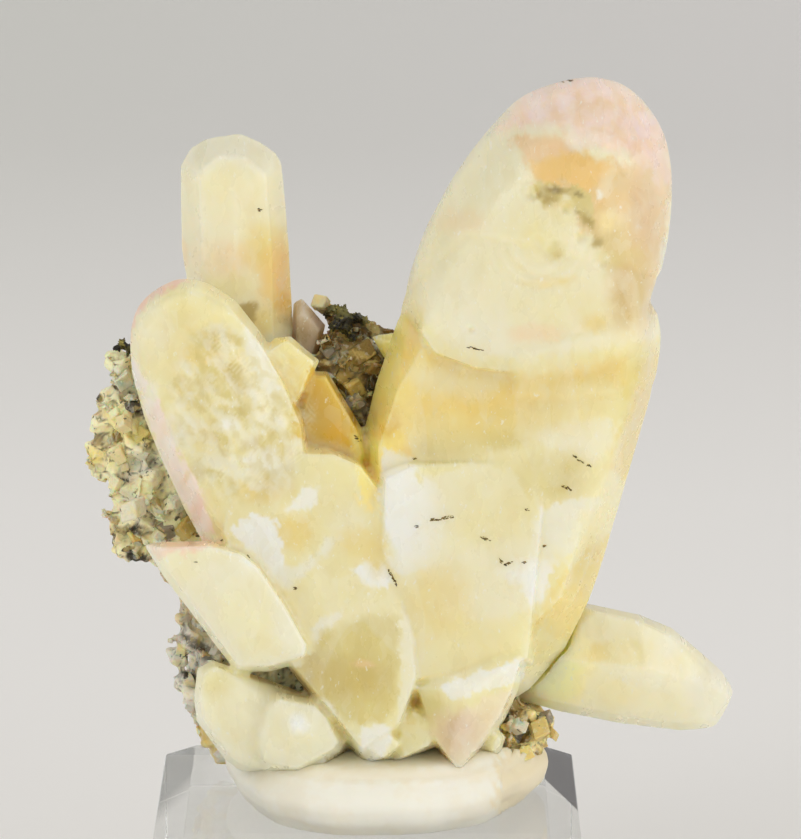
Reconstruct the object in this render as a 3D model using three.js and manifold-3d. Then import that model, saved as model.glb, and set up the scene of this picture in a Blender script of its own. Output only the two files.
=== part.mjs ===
// A calcite specimen with chalcopyrite on its matrix, held in white putty on a clear bevelled block.
// Millimetres, +Z up, +X right and +Y away from the viewer. The origin is under the block's centre.
import * as THREE from "three";
import { ConvexGeometry } from "three/addons/geometries/ConvexGeometry.js";
import { mergeVertices } from "three/addons/utils/BufferGeometryUtils.js";
import Module from "manifold-3d";

const wasm = await Module();
wasm.setup();

// Driving dimensions
const block = { width: 50.8, depth: 50.8, height: 25.4, bevelWide: 4, bevelHigh: 2.4 };
const putty = { middle: [1.8, 1.2], halfWidth: 18.2, halfDepth: 18, height: 6.2 };
const gap = 0.3; // between pieces that touch
const grown = 0.45; // added all round a piece before it cuts its neighbour

// How the specimen's outlines are drawn: as seen from the front, from slightly above
const lookDown = THREE.MathUtils.degToRad(13);
const eyeDistance = 600;
const aim = { across: 3.95, up: 44.43, height: 46.4 };

// Each crystal is the hull of its sections: rings run from the widest one to the front face, each as a depth
// and its corners as [across, up] from the middle of the block's top. back repeats the widest section behind,
// as a depth and a share of its size. points are single corners [across, up, depth] on a ridge or a root.
// tilt and swing turn the whole crystal: depth gained for each millimetre up and across.
const crystals = {
  cap: {
    rings: [
      [
        2,
        [
          [3.9, 57.1], [5.3, 61.5], [7.2, 67.1], [9.7, 71.8], [12.7, 76.3], [15.6, 79.9],
          [18.1, 82.4], [21.6, 83.9], [26.3, 84.9], [29.9, 84.2], [32.4, 82.2], [34.2, 79.7],
          [35.3, 77.1], [35.8, 73.7], [35.8, 69.8], [35.3, 65.6], [34.3, 62.1], [33.6, 58.9],
          [31, 54.4], [8.6, 54.4],
        ],
      ],
      [
        -5,
        [
          [5, 58.4], [6.6, 64.9], [9.6, 71], [13.4, 76.2], [17.8, 80.4], [22.6, 82.6],
          [27.4, 82.8], [31.4, 80.8], [34, 76.8], [34.9, 70.8], [34.5, 64.7], [33.2, 58.4],
        ],
      ],
      [
        -9.8,
        [
          [6.4, 58], [7.9, 63.6], [11, 69.4], [15, 74.2], [19.4, 77.6], [24, 79],
          [28.2, 78.4], [31.6, 75.2], [33.2, 70.2], [33.2, 64.6], [32.6, 59],
        ],
      ],
      [
        -12.6,
        [
          [6.4, 54.6], [8.8, 60], [11.6, 65], [15, 69.4], [19.6, 73], [24, 74],
          [27.8, 72.6], [30.2, 69], [30.9, 64.4], [31, 59.4], [32.2, 56.6], [31.6, 52.9],
          [27.6, 50.9], [20, 49.5], [12.6, 50.6], [8, 52.3],
        ],
      ],
    ],
    back: [[9, 0.9], [12.5, 0.66]],
    points: [
      [14.6, 61.6, -14], [20.4, 66.6, -14.2], [21, 57, -14.2], [25.6, 66, -14],
      [13, 49, 11], [27, 49, 11],
    ],
  },
  body: {
    rings: [
      [
        1,
        [
          [-0.7, 42], [1.1, 49.1], [3.5, 56], [5.3, 59.7], [32.2, 59.7], [34.1, 57.6],
          [34.7, 54.4], [34.3, 51.2], [33.4, 46.8], [31.7, 42], [29.9, 35], [28.1, 28.5],
          [26.3, 23.2], [23.4, 17.3], [19.2, 12.5], [13.3, 9], [7.4, 9], [5.4, 12.5],
          [4.1, 18.4], [3.5, 23.2], [1.7, 27.6], [1.1, 32.6], [0.1, 38.5],
        ],
      ],
      [
        -10.6,
        [
          [1.3, 41], [1.5, 35], [1.9, 28], [3.9, 22], [5.7, 14.5], [12.2, 13.5],
          [18.2, 16], [22.2, 22.6], [24.4, 27.8], [27, 34.8], [29.6, 42], [31.8, 50],
          [32.4, 55.4], [15.7, 54.6], [6.4, 52.7], [3.6, 48],
        ],
      ],
    ],
    back: [[8, 0.88], [11.5, 0.6]],
    points: [[10, 45, -12.4], [22, 42, -12.8], [16, 26, -12.6]],
  },
  // the split front of the body: two broken steps that stand a little forward
  stepLeft: {
    rings: [
      [-8, [[1.2, 39], [3.6, 40.6], [16.8, 39.8], [21.2, 34.4],
      [19.8, 15.4], [5.8, 12.4], [1.8, 27.6]]],
      [-13.2, [[2.2, 37.4], [5.6, 39], [12.2, 39.4], [16.6, 39], [20.8, 33.8],
      [18.9, 16.2], [4.4, 13.6], [1.8, 28]]],
    ],
    back: [[-6, 0.7]],
    points: [[10, 30, -13.9], [11, 20, -13.7]],
    tilt: 0.02,
    swing: 0.05,
  },
  stepRight: {
    rings: [
      [-6, [[17.6, 34], [26.2, 35.2], [27.4, 31], [24.6, 22.8], [17.6, 17.4]]],
      [-11.6, [[17.6, 33.4], [23.4, 34.8], [25.4, 34.2], [25.2, 31], [22.8, 23.4], [17.6, 18.4]]],
    ],
    back: [[-4, 0.7]],
    swing: 0.16,
  },
  foot: {
    rings: [
      [
        -4,
        [
          [5.1, 12.3], [6.4, 13.5], [8.3, 14.7], [12.2, 17], [18.9, 17], [17.9, 12.5],
          [16.3, 9], [14.2, 6.1], [11.6, 2.9], [10.5, 2.4], [7.8, 6.1],
        ],
      ],
      [-13.4, [[6, 12.8], [9, 14.2], [15.8, 16.6], [18.2, 16.4], [17.2, 12.6], [15.6, 9.2],
      [11.2, 3.4], [10.5, 3.4], [7.9, 6.8]]],
    ],
    back: [[4, 0.75]],
    points: [[12.4, 12.4, -15.2]],
  },
  stub: {
    rings: [
      [
        -4,
        [
          [-27.8, 54.1], [-27.7, 56.2], [-26.9, 58.2], [-24.7, 60.1], [-22.1, 61.2], [-19.1, 60.8],
          [-15.5, 58.6], [-12.2, 54.4], [-9.1, 49.4], [-7.4, 45], [-6.5, 39.7], [-7.9, 27.9],
          [-13.8, 23.2], [-19.4, 29.8], [-21.4, 33.4], [-24.1, 39.1], [-26.3, 44.6], [-27.6, 48.9],
          [-28, 52.4],
        ],
      ],
      [
        -11.4,
        [
          [-27.2, 55], [-26.2, 57], [-23.8, 58.9], [-20.4, 59.8], [-16.4, 57.8], [-12.8, 53.6],
          [-9.8, 48.6], [-7.8, 43.6], [-7.4, 38], [-9, 29], [-16.4, 30.8], [-19.1, 34.6], [-21.8, 40.3],
          [-25.4, 47.9], [-26.8, 52.4],
        ],
      ],
    ],
    back: [[0.4, 0.86]],
    points: [[-19.4, 51, -12.8], [-15.4, 42, -13.2], [-14, 33, -12.4]],
    tilt: 0.04,
  },
  leaner: {
    rings: [
      [
        -5,
        [
          [-14.6, 40.2], [-10.9, 41.1], [-5.5, 41.6], [-2.5, 40.6], [-0.5, 39.4], [0.4, 36.1],
          [1.2, 31.4], [1.8, 27.6], [3.7, 24.1], [4.4, 20.6], [5.5, 17.3], [6.4, 14.7],
          [6.1, 12.3], [5.3, 9.9], [3.9, 7.8], [2.4, 4.5], [-0.6, 3.8], [-2.5, 6.6],
          [-4.4, 9.9], [-9.1, 14.8], [-12.6, 22], [-15.9, 27.9], [-17.7, 30.8], [-17.1, 35.6],
        ],
      ],
      [
        -13.6,
        [
          [-14.4, 38.9], [-9.6, 40.4], [-3.8, 40.3], [-0.8, 39], [1.4, 36.1], [2.4, 30.6],
          [3.3, 25.2], [5.5, 18], [5.8, 14], [3.8, 8.6], [-0.6, 5.6], [-4.2, 10.6], [-9, 15.8],
          [-11.4, 22], [-16, 29.6], [-17, 31.2], [-16.4, 35.2],
        ],
      ],
    ],
    back: [[4, 0.8]],
    points: [[-9.6, 34, -15], [-4, 21, -15.4], [1.6, 18.4, -14.8], [0, 10, -14.4]],
    tilt: 0.1,
  },
  lowerLeft: {
    rings: [
      [
        -10,
        [
          [-26.4, 29.7], [-24.4, 30.1], [-18.2, 30.2], [-14.6, 29.2], [-12.4, 27.3], [-9.1, 22.6],
          [-6.5, 17.9], [-6.8, 16], [-11.4, 14.6], [-15.5, 14.6], [-19, 19.4], [-21.5, 23.2],
          [-24, 25.8],
        ],
      ],
      [
        -15.4,
        [
          [-24.6, 29.3], [-18.4, 29.5], [-14.8, 28.5], [-12.9, 27], [-9.7, 22.4], [-7.2, 17.8],
          [-7.4, 16.6], [-11.6, 15.3], [-15.2, 15.3], [-18.6, 20], [-21, 23.6], [-23.4, 26.4],
        ],
      ],
    ],
    back: [[-5, 0.84]],
    points: [[-17.6, 24.4, -16.2], [-11.6, 20, -16.4]],
    swing: -0.1,
  },
  bottomLeft: {
    rings: [
      [
        -7,
        [
          [-20.1, 15.1], [-18.2, 16.1], [-15.9, 15.1], [-13.6, 13.4], [-10.9, 11.4], [-7.9, 9.6],
          [-2.6, 5.2], [-4, 3.3], [-7.9, 2.5], [-15, 2.9], [-16.8, 4.3], [-18.2, 6.4],
          [-20.1, 8.8], [-20.5, 11.4],
        ],
      ],
      [
        -12.6,
        [
          [-19.4, 14.4], [-18, 15.3], [-16, 14.4], [-13.8, 12.8], [-11.2, 10.8], [-8, 8.9],
          [-4, 5.4], [-5, 3.9], [-8, 3.2], [-14.7, 3.6], [-16.3, 4.8], [-17.7, 6.8],
          [-19.4, 9.1], [-19.8, 11.4],
        ],
      ],
    ],
    back: [[0, 0.82]],
    points: [[-14, 9.6, -13.4], [0.4, 9.4, -4], [-1, 6, -4]],
  },
  wedge: {
    rings: [
      [
        -11,
        [
          [-12.4, 11.1], [-10.5, 12.4], [-5.8, 11.4], [-4.1, 9.7], [-2.5, 6.4], [-3.1, 5.2],
          [-5.3, 4.3], [-7.9, 2.5], [-12.4, 3.1], [-13.8, 6.6],
        ],
      ],
      [
        -14.6,
        [
          [-11.6, 10.4], [-10.3, 11.4], [-6.2, 10.6], [-4.8, 9.2], [-3.5, 6.4], [-4, 5.6],
          [-5.9, 4.8], [-8.2, 3.4], [-11.8, 3.8], [-12.9, 6.6],
        ],
      ],
    ],
    back: [[-5, 0.8]],
    points: [[-8, 8, -15.6]],
  },
  orange: {
    rings: [
      [
        0,
        [
          [-6.8, 50.2], [-4.6, 50.2], [-0.6, 43.5], [0.4, 40.4], [-0.6, 37], [-8.7, 38],
          [-9.4, 44], [-8.1, 46.5],
        ],
      ],
      [-6.4, [[-6.6, 49.4], [-4.9, 49.6], [-1.3, 43.4], [-0.6, 40.4], [-1.2, 37.6], [-8.2, 38.6]]],
    ],
    back: [[3.6, 0.8]],
  },
  pale: {
    rings: [
      [
        -5,
        [
          [-12, 52.7], [-11, 54.1], [-9, 54.3], [-5.5, 51.4], [-6.5, 50.1], [-8, 46.5],
          [-9.1, 44.6], [-11.2, 47],
        ],
      ],
      [-9.6, [[-11.7, 52.4], [-9.4, 53.8], [-6.2, 51.2], [-8.1, 46.8], [-9.2, 45.6], [-11, 47.6]]],
    ],
    back: [[0, 0.8]],
  },
  chip: {
    rings: [
      [4, [[0.4, 54.3], [3.4, 54.8], [4.4, 53], [3, 50.4], [2, 51.6]]],
      [2.4, [[1.6, 53.8], [3.2, 53.8], [3, 52.2], [2.2, 52.2]]],
    ],
    back: [[6, 0.7]],
  },
  // small white crystals at the foot, between the leaning crystal and the big one
  sliverLeft: {
    rings: [
      [-9, [[-1.8, 6.4], [3.3, 8.1], [5.1, 6.4], [3.3, 4.3], [-0.6, 3.7]]],
      [-14.8, [[-0.6, 6.2], [2.6, 7.2], [3.9, 6.2], [2, 4.6]]],
    ],
    back: [[-5, 0.8]],
  },
  sliverRight: {
    rings: [
      [-8, [[3.2, 8.4], [5, 11.6], [7.6, 11.2], [8.6, 7.4], [8.4, 5.9], [4.5, 4.3], [1.9, 3.3]]],
      [-13.4, [[4, 8], [5.4, 10], [6.9, 9], [7.4, 6], [4.4, 4.6]]],
    ],
    back: [[-4, 0.8]],
  },
  tooth: {
    rings: [
      [-6, [[14.2, 5.7], [15.3, 8.1], [16.5, 7], [15.6, 4.6], [13.4, 5.2]]],
      [-8.8, [[14.8, 6.2], [15.4, 7.2], [15.8, 6.6], [15.2, 5.4]]],
    ],
    back: [[-2, 0.9]],
  },
};

// Crystals that stand free of the others
const column = {
  rings: [
    [
      7,
      [
        [-21.9, 64.5], [-22.1, 74.5], [-20.9, 76.6], [-19, 77.7], [-14.9, 78.3], [-12.4, 77.2],
        [-10.7, 76], [-10, 74.8], [-9.6, 69.8], [-9.1, 64.5], [-8.7, 55], [-10.3, 46],
        [-18.5, 46], [-19.7, 57.4], [-21.2, 61.2],
      ],
    ],
    [
      1.8,
      [
        [-19.9, 73.6], [-17.4, 75.6], [-14.4, 75.4], [-11.9, 73.4], [-11.2, 64], [-10.9, 48],
        [-17.6, 48], [-19.4, 62],
      ],
    ],
  ],
  back: [[11, 0.86], [13, 0.6]],
  points: [[-15.6, 71, 1], [-15, 50, 1]],
};
const sideCrystal = {
  rings: [
    [
      8,
      [
        [15.7, 18.4], [22.8, 23.4], [26.3, 22.7], [32.2, 21.5], [36, 19.9], [39.3, 16.4],
        [41.9, 14.8], [43.4, 12.5], [42.8, 10.9], [41.2, 8.1], [36.9, 7.7], [29.9, 8.5],
        [22.8, 9.9], [16.9, 11.5],
      ],
    ],
    [
      3.4,
      [
        [18, 18], [27, 21.8], [32.4, 20.6], [36.2, 18.8], [38.8, 15.8], [41.4, 14],
        [42.6, 12.2], [40.6, 9], [36.6, 8.6], [30, 9.4], [20, 11.6],
      ],
    ],
  ],
  back: [[13, 0.72]],
  points: [[20, 16.4, 0.8], [33, 15, 1.2], [39.4, 12.8, 2.2]],
  swing: 0.12,
};
const greyCrystal = {
  rings: [
    [8, [[-8.8, 58.2], [-7.7, 58.8], [-4.8, 55.6], [-5.3, 53.8],
    [-6.5, 50.2], [-8.4, 49.6], [-9.3, 54.8]]],
    [5.6, [[-8.2, 56.6], [-7.4, 56.9], [-5.6, 55], [-6.6, 51.8], [-7.8, 51.6]]],
  ],
  back: [[11, 0.8]],
};

// The matrix: two cores with lumps, each as [across, up, depth, radius]
const cores = [
  {
    rings: [
      [
        9,
        [
          [-28.4, 50.6], [-30.4, 42], [-28.6, 32.4], [-25.4, 27.8], [-14, 22], [6, 27],
          [4, 48], [0, 55], [-5, 56], [-14, 51.6],
        ],
      ],
      [3.4, [[-26, 48], [-27.6, 41], [-26.4, 34], [-14, 27], [2, 30], [-1, 50], [-6, 51]]],
    ],
    back: [[13, 0.8]],
  },
  {
    rings: [
      [
        8,
        [
          [-20.8, 20.6], [-22, 11.4], [-19.6, 5.6], [-10, 3.2], [16, 3.2], [21.4, 5.8],
          [21.8, 9], [17, 23], [0, 31], [-16, 28],
        ],
      ],
      [1.4, [[-19, 17], [-19.6, 11.4], [-16, 6], [14, 5], [18.8, 7.4], [12, 20], [-12, 24]]],
    ],
    back: [[12, 0.8]],
  },
];
const lumps = [
  // left flank
  [-29.3, 51.2, 6, 2], [-28, 49, 7, 2.4], [-30, 47, 6, 2.1], [-31, 44.2, 6, 2.3], [-28.6, 44.6, 4, 2.6],
  [-31.6, 41, 6, 2], [-29.6, 40, 4.4, 2.5], [-27, 41.4, 3.4, 2.4],
  [-31.4, 38.4, 6, 1.9], [-28.6, 37, 4, 2.6],
  [-26, 37.6, 3, 2.2], [-28, 34.4, 4.6, 2.2], [-29, 31.6, 5, 1.9],
  [-28.2, 29.6, 5, 2.1], [-25.8, 32.2, 3.4, 2.4],
  [-26.2, 28.6, 4.6, 1.8], [-24, 30.6, 3, 2.2], [-22.6, 34.2, 2.6, 2.2], [-22, 31.4, 2, 2.2],
  // lower left
  [-21.4, 20.6, 3.4, 1.5], [-20.8, 18.4, 2.6, 2], [-22.2, 16.4, 3.6, 1.7],
  [-21.6, 13.4, 3, 1.9], [-21.8, 10.6, 3.4, 1.6],
  [-19.4, 12, 1.4, 1.8], [-18.6, 15.8, 1, 1.8], [-11.4, 13.2, -1, 1.7], [-9.2, 13.6, -1.6, 1.7],
  [-10.6, 13.1, -3.6, 1.7], [-10.8, 13, -6, 1.7], [-11, 13, -8, 1.5],
  // crest between the left crystals and the big one
  [-5.4, 57.6, 9, 1.5], [-3.8, 56.4, 8, 1.8], [-1.6, 55.4, 8, 1.8],
  [0.6, 55, 8, 1.6], [2.4, 54.4, 8, 1.5],
  [-3.4, 53, 6.4, 2], [-1, 52.4, 6, 2.1], [1.4, 51.8, 6, 1.8],
  [-3, 49.8, 5.4, 2.1], [-0.4, 48.4, 5, 2], [0, 45.2, 4.8, 1.8],
  // foot at the right
  [18.4, 9.4, 1.2, 1.9], [20.8, 8.6, 1.8, 1.9], [19.4, 6.4, 0.4, 2],
  [21.8, 6.4, 2, 1.4], [17.6, 5.2, -1.2, 1.6],
  [16.6, 7.6, -1.4, 1.5], [15.8, 4.6, -2.6, 1.3],
];
// boulders of the hidden back
const boulders = [
  [-21, 42, 11, 8.2], [-11, 44.6, 13, 9.4], [-3.6, 48.4, 11, 6.8],
  [-19.4, 31.4, 11.4, 8.4], [-8, 33.6, 13.6, 9.8],
  [-0.6, 39.6, 11, 6.6], [-14, 20.6, 12, 8.8], [-2.4, 23.4, 13.6, 8.6],
  [6, 22.4, 11, 7], [-14.6, 9.6, 10.6, 6.4],
  [-6, 11.6, 13.4, 8.4], [5.6, 10.6, 12.4, 8], [15, 9.4, 9, 5],
];
const rhombs = [
  [-29, 35.6, 2, 1.9], [-26.6, 34.6, 0.8, 2.5], [-24.4, 33.2, 0.6, 1.8],
  [-27, 31.2, 2.2, 2], [-24.2, 30.8, 0.8, 1.9],
  [-30.6, 33.2, 3.6, 1.5], [-31.4, 46.2, 4.4, 1.4], [-29.6, 49.4, 4.4, 1.5],
  [-32.2, 39.6, 4.6, 1.4], [-27.4, 46.6, 2.6, 1.7],
  [-21.8, 15, 1.2, 1.6], [-21, 11.8, 1.4, 1.5], [-22.6, 18.6, 2.4, 1.3], [-10.4, 12.9, -2.4, 1.4],
  [-4.8, 53.4, 4.6, 1.9], [-2.6, 51.2, 4, 2.1], [0.6, 50.4, 4, 2],
  [-4, 49.2, 3.4, 1.6], [-1.2, 46.8, 3.4, 1.8],
  [17.6, 8.8, -1, 1.8], [18.8, 5.8, -1.6, 1.7], [21, 7.8, 0, 2], [16.4, 6, -3, 1.3],
];
// Chalcopyrite: a dark crust of crystals on the crest, and one on the left flank
const crestCrystals = [
  [-4.4, 57.4, 6.4, 1.2], [-3, 57.2, 6.2, 1.4], [-1.4, 56.4, 5.8, 1.3],
  [-2.6, 55.4, 5.2, 1.5], [-4, 55.4, 5.4, 1.1],
  [-0.2, 56, 6, 1.1], [-1.8, 54.2, 4.6, 1.1], [1.2, 56, 6.4, 1],
];
const flankCrystals = [[-28.9, 53.6, 5.2, 1], [-28, 52.8, 4.6, 1.1], [-29.6, 52.8, 5, 0.8]];

// Repeatable random numbers from 0 to 1
function seeded(seed) {
  let state = seed;
  return () => {
    state = (state * 1664525 + 1013904223) % 4294967296;
    return state / 4294967296;
  };
}

// The place of a point that is seen at (across, up) from the front and lies at a depth.
function seenAt(across, up, depth) {
  const sine = Math.sin(lookDown);
  const cosine = Math.cos(lookDown);
  const above = up - aim.up;
  const rise =
    (above * (eyeDistance + depth * cosine) - eyeDistance * depth * sine) /
    (eyeDistance * cosine + above * sine);
  const away = depth * cosine - rise * sine;
  return new THREE.Vector3(
    aim.across + (across - aim.across) * (1 + away / eyeDistance),
    depth,
    block.height + aim.height + rise,
  );
}

// A closed solid from a three.js geometry.
function toSolid(geometry) {
  const bare = geometry.clone();
  bare.deleteAttribute("normal");
  bare.deleteAttribute("uv");
  const merged = mergeVertices(bare, 1e-3);
  return new wasm.Manifold(
    new wasm.Mesh({
      numProp: 3,
      vertProperties: new Float32Array(merged.attributes.position.array),
      triVerts: new Uint32Array(merged.index.array),
    }),
  );
}

// A three.js geometry with flat faces from a closed solid.
function toGeometry(solid) {
  const mesh = solid.getMesh();
  const positions = new Float32Array(mesh.numVert * 3);
  for (let i = 0; i < mesh.numVert; i++) {
    positions.set(mesh.vertProperties.subarray(i * mesh.numProp, i * mesh.numProp + 3), i * 3);
  }
  const geometry = new THREE.BufferGeometry();
  geometry.setAttribute("position", new THREE.BufferAttribute(positions, 3));
  geometry.setIndex(new THREE.BufferAttribute(new Uint32Array(mesh.triVerts), 1));
  const flat = geometry.toNonIndexed();
  flat.computeVertexNormals();
  return flat;
}

function join(solids) {
  return wasm.Manifold.union(solids);
}

// The middle of an outline's corners.
function middleOf(outline) {
  return [0, 1].map((k) => outline.reduce((sum, corner) => sum + corner[k], 0) / outline.length);
}

// A flat-faced crystal: the hull of its sections, with extra added all round its box.
function crystal({ rings, back, points: corners = [], tilt = 0, swing = 0 }, extra = 0) {
  const widest = rings[0][1];
  const middle = middleOf(widest);
  const place = (across, up, depth) =>
    seenAt(across, up, depth + swing * (across - middle[0]) + tilt * (up - middle[1]));
  const points = corners.map(([across, up, depth]) => place(across, up, depth));
  for (const [depth, outline] of rings) {
    for (const [across, up] of outline) points.push(place(across, up, depth));
  }
  for (const [depth, share] of back) {
    for (const corner of widest) {
      const [across, up] = corner.map((value, k) => middle[k] + (value - middle[k]) * share);
      points.push(place(across, up, depth));
    }
  }
  if (extra > 0) {
    const box = new THREE.Box3().setFromPoints(points);
    const size = box.getSize(new THREE.Vector3());
    const centre = box.getCenter(new THREE.Vector3());
    const larger = size.clone().addScalar(2 * extra).divide(size);
    for (const point of points) point.sub(centre).multiply(larger).add(centre);
  }
  return toSolid(new ConvexGeometry(points));
}

// A rounded lump of rock with uneven faces.
function lump([across, up, depth, radius], random, extra = 0) {
  let geometry = new THREE.DodecahedronGeometry(radius, 0);
  if (radius < 2) geometry = new THREE.IcosahedronGeometry(radius, 0);
  if (radius > 3) geometry = new THREE.IcosahedronGeometry(radius, 1);
  geometry.deleteAttribute("normal");
  geometry.deleteAttribute("uv");
  const merged = mergeVertices(geometry, 1e-3);
  const position = merged.attributes.position;
  const point = new THREE.Vector3();
  for (let i = 0; i < position.count; i++) {
    point.fromBufferAttribute(position, i).multiplyScalar(0.84 + 0.3 * random() + extra / radius);
    position.setXYZ(i, point.x, point.y, point.z);
  }
  const place = seenAt(across, up, depth);
  merged.translate(place.x, place.y, place.z);
  return toSolid(merged);
}

// A small rhomb: a cube with slanted sides, turned at random.
function rhomb([across, up, depth, size], random, extra = 0) {
  const side = size + 2 * extra;
  const geometry = new THREE.BoxGeometry(side, side, side);
  geometry.applyMatrix4(new THREE.Matrix4().makeShear(0, 0, 0.2, 0, 0.24, 0));
  geometry.rotateX(random() * 1.6);
  geometry.rotateY(random() * 1.6);
  geometry.rotateZ(random() * 1.6);
  const place = seenAt(across, up, depth);
  geometry.translate(place.x, place.y, place.z);
  return toSolid(geometry);
}

// A chalcopyrite crystal: a blunt wedge with four main faces.
function brassyCrystal([across, up, depth, radius], random, extra = 0) {
  const geometry = new THREE.OctahedronGeometry(radius + extra * 1.6, 0);
  geometry.scale(1, 0.9, 1.15);
  geometry.rotateX(random() * 3);
  geometry.rotateZ(random() * 3);
  const place = seenAt(across, up, depth);
  geometry.translate(place.x, place.y, place.z);
  return toSolid(geometry);
}

function makeRock(extra) {
  const random = seeded(7);
  return join([
    ...cores.map((core) => crystal(core, extra)),
    ...[...lumps, ...boulders].map((spec) => lump(spec, random, extra)),
    ...rhombs.map((spec) => rhomb(spec, random, extra)),
  ]);
}

function makeCluster(list, seed, extra) {
  const random = seeded(seed);
  return join(list.map((spec) => brassyCrystal(spec, random, extra)));
}

// The block: a box whose top edges are bevelled.
function makeBlock() {
  const points = [];
  for (const x of [-1, 1]) {
    for (const y of [-1, 1]) {
      const side = [(x * block.width) / 2, (y * block.depth) / 2];
      points.push(new THREE.Vector3(side[0], side[1], 0));
      points.push(new THREE.Vector3(side[0], side[1], block.height - block.bevelHigh));
      points.push(
        new THREE.Vector3(side[0] - x * block.bevelWide, side[1] - y * block.bevelWide, block.height),
      );
    }
  }
  return toSolid(new ConvexGeometry(points));
}

// The putty: a hand-pressed pad with a full, rounded rim that ends flat on the block.
function makePutty() {
  const around = 40;
  const profile = [[0.9, 0], [1, 0.3], [1.02, 0.55], [0.97, 0.8], [0.86, 1]];
  const points = [];
  for (let i = 0; i < around; i++) {
    const angle = (i / around) * Math.PI * 2;
    const wobble = 1 + 0.03 * Math.sin(3 * angle + 1) + 0.02 * Math.sin(5 * angle);
    for (const [reach, height] of profile) {
      points.push(
        new THREE.Vector3(
          putty.middle[0] + Math.cos(angle) * putty.halfWidth * reach * wobble,
          putty.middle[1] + Math.sin(angle) * putty.halfDepth * reach * wobble,
          block.height + gap + height * putty.height,
        ),
      );
    }
  }
  return toSolid(new ConvexGeometry(points));
}

const mainCrystals = Object.values(crystals);
const cutByCrystals = join(mainCrystals.map((spec) => crystal(spec, grown)));
const cutByColumn = crystal(column, grown);
const cutBySide = crystal(sideCrystal, grown);
const cutByGrey = crystal(greyCrystal, grown);
const cutByCrest = makeCluster(crestCrystals, 3, grown);
const cutByFlank = makeCluster(flankCrystals, 5, grown);
const belowPutty = toSolid(new THREE.BoxGeometry(120, 120, 2 * (block.height + 2 * gap + 1)));

const calciteSolid = join(mainCrystals.map((spec) => crystal(spec)))
  .subtract(cutByColumn)
  .subtract(belowPutty);
const columnSolid = crystal(column);
const sideSolid = crystal(sideCrystal).subtract(cutByCrystals);
const greySolid = crystal(greyCrystal).subtract(cutByColumn).subtract(cutByCrystals);
const crystalCuts = [cutByCrystals, cutByColumn, cutBySide, cutByGrey];
const crestSolid = crystalCuts.reduce((solid, cut) => solid.subtract(cut), makeCluster(crestCrystals, 3, 0));
const flankSolid = crystalCuts.reduce((solid, cut) => solid.subtract(cut), makeCluster(flankCrystals, 5, 0));
const rockSolid = [...crystalCuts, cutByCrest, cutByFlank, belowPutty].reduce(
  (solid, cut) => solid.subtract(cut),
  makeRock(0),
);
const puttySolid = [...crystalCuts, makeRock(grown)].reduce((solid, cut) => solid.subtract(cut), makePutty());

function addPiece(group, name, solid, colour, roughness, options = {}) {
  // a cut can leave loose crumbs, so the largest body is the piece
  const bodies = solid.decompose().sort((a, b) => b.volume() - a.volume());
  const material = new THREE.MeshStandardMaterial({ color: colour, roughness, metalness: 0, ...options });
  const mesh = new THREE.Mesh(toGeometry(bodies[0]), material);
  mesh.name = name;
  group.add(mesh);
}

const specimen = new THREE.Group();
const clear = { transparent: true, opacity: 0.4 };
addPiece(specimen, "acrylic_block", makeBlock(), "#e8ecec", 0.05, clear);
addPiece(specimen, "mounting_putty", puttySolid, "#ebe6cc", 0.85);
addPiece(specimen, "matrix_rock", rockSolid, "#a79d76", 0.9);
addPiece(specimen, "calcite_crystals", calciteSolid, "#e0cf8c", 0.25);
addPiece(specimen, "column_crystal", columnSolid, "#e8dfb8", 0.25);
addPiece(specimen, "side_crystal", sideSolid, "#e3d48f", 0.25);
addPiece(specimen, "grey_crystal", greySolid, "#d8c4b4", 0.25);
addPiece(specimen, "chalcopyrite_crest", crestSolid, "#4a4630", 0.4, { metalness: 0.7 });
addPiece(specimen, "chalcopyrite_flank", flankSolid, "#4a4630", 0.4, { metalness: 0.7 });

export default specimen;
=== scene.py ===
import math
import bpy
import numpy as np
from mathutils import Matrix, Vector, noise
from mathutils.bvhtree import BVHTree


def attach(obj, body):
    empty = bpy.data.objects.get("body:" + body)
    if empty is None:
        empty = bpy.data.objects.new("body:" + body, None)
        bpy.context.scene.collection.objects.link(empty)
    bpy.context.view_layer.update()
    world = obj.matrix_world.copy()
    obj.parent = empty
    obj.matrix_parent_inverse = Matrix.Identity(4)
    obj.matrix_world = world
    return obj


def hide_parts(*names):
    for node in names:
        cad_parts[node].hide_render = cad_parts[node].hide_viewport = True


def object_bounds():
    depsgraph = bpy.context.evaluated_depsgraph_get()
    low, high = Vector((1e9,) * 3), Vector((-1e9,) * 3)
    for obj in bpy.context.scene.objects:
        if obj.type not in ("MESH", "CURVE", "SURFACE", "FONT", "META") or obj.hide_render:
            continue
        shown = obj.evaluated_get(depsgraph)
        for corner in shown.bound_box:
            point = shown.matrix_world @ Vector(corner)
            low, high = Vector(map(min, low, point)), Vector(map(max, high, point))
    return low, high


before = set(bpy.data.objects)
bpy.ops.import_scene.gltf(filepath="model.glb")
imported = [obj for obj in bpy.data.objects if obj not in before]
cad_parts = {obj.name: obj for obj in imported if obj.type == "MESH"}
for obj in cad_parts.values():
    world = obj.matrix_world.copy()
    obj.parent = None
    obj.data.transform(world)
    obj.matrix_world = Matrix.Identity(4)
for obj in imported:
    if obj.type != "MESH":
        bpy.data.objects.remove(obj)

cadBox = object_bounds()
mm = 0.001

# the camera stands in front, a little above, and aims at the specimen's middle (millimetres)
view = {
    "aim": Vector((3.95, 0, 71.8)),
    "distance": 600,
    "lookDown": math.radians(13),
    "tall": 99.0,  # what the picture's height takes in at the aim
    "drawnUp": 44.43,  # the aim's height in the drawings, over the block's top
}
forward = Vector((0, math.cos(view["lookDown"]), -math.sin(view["lookDown"])))
lift = Vector((0, math.sin(view["lookDown"]), math.cos(view["lookDown"])))


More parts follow.
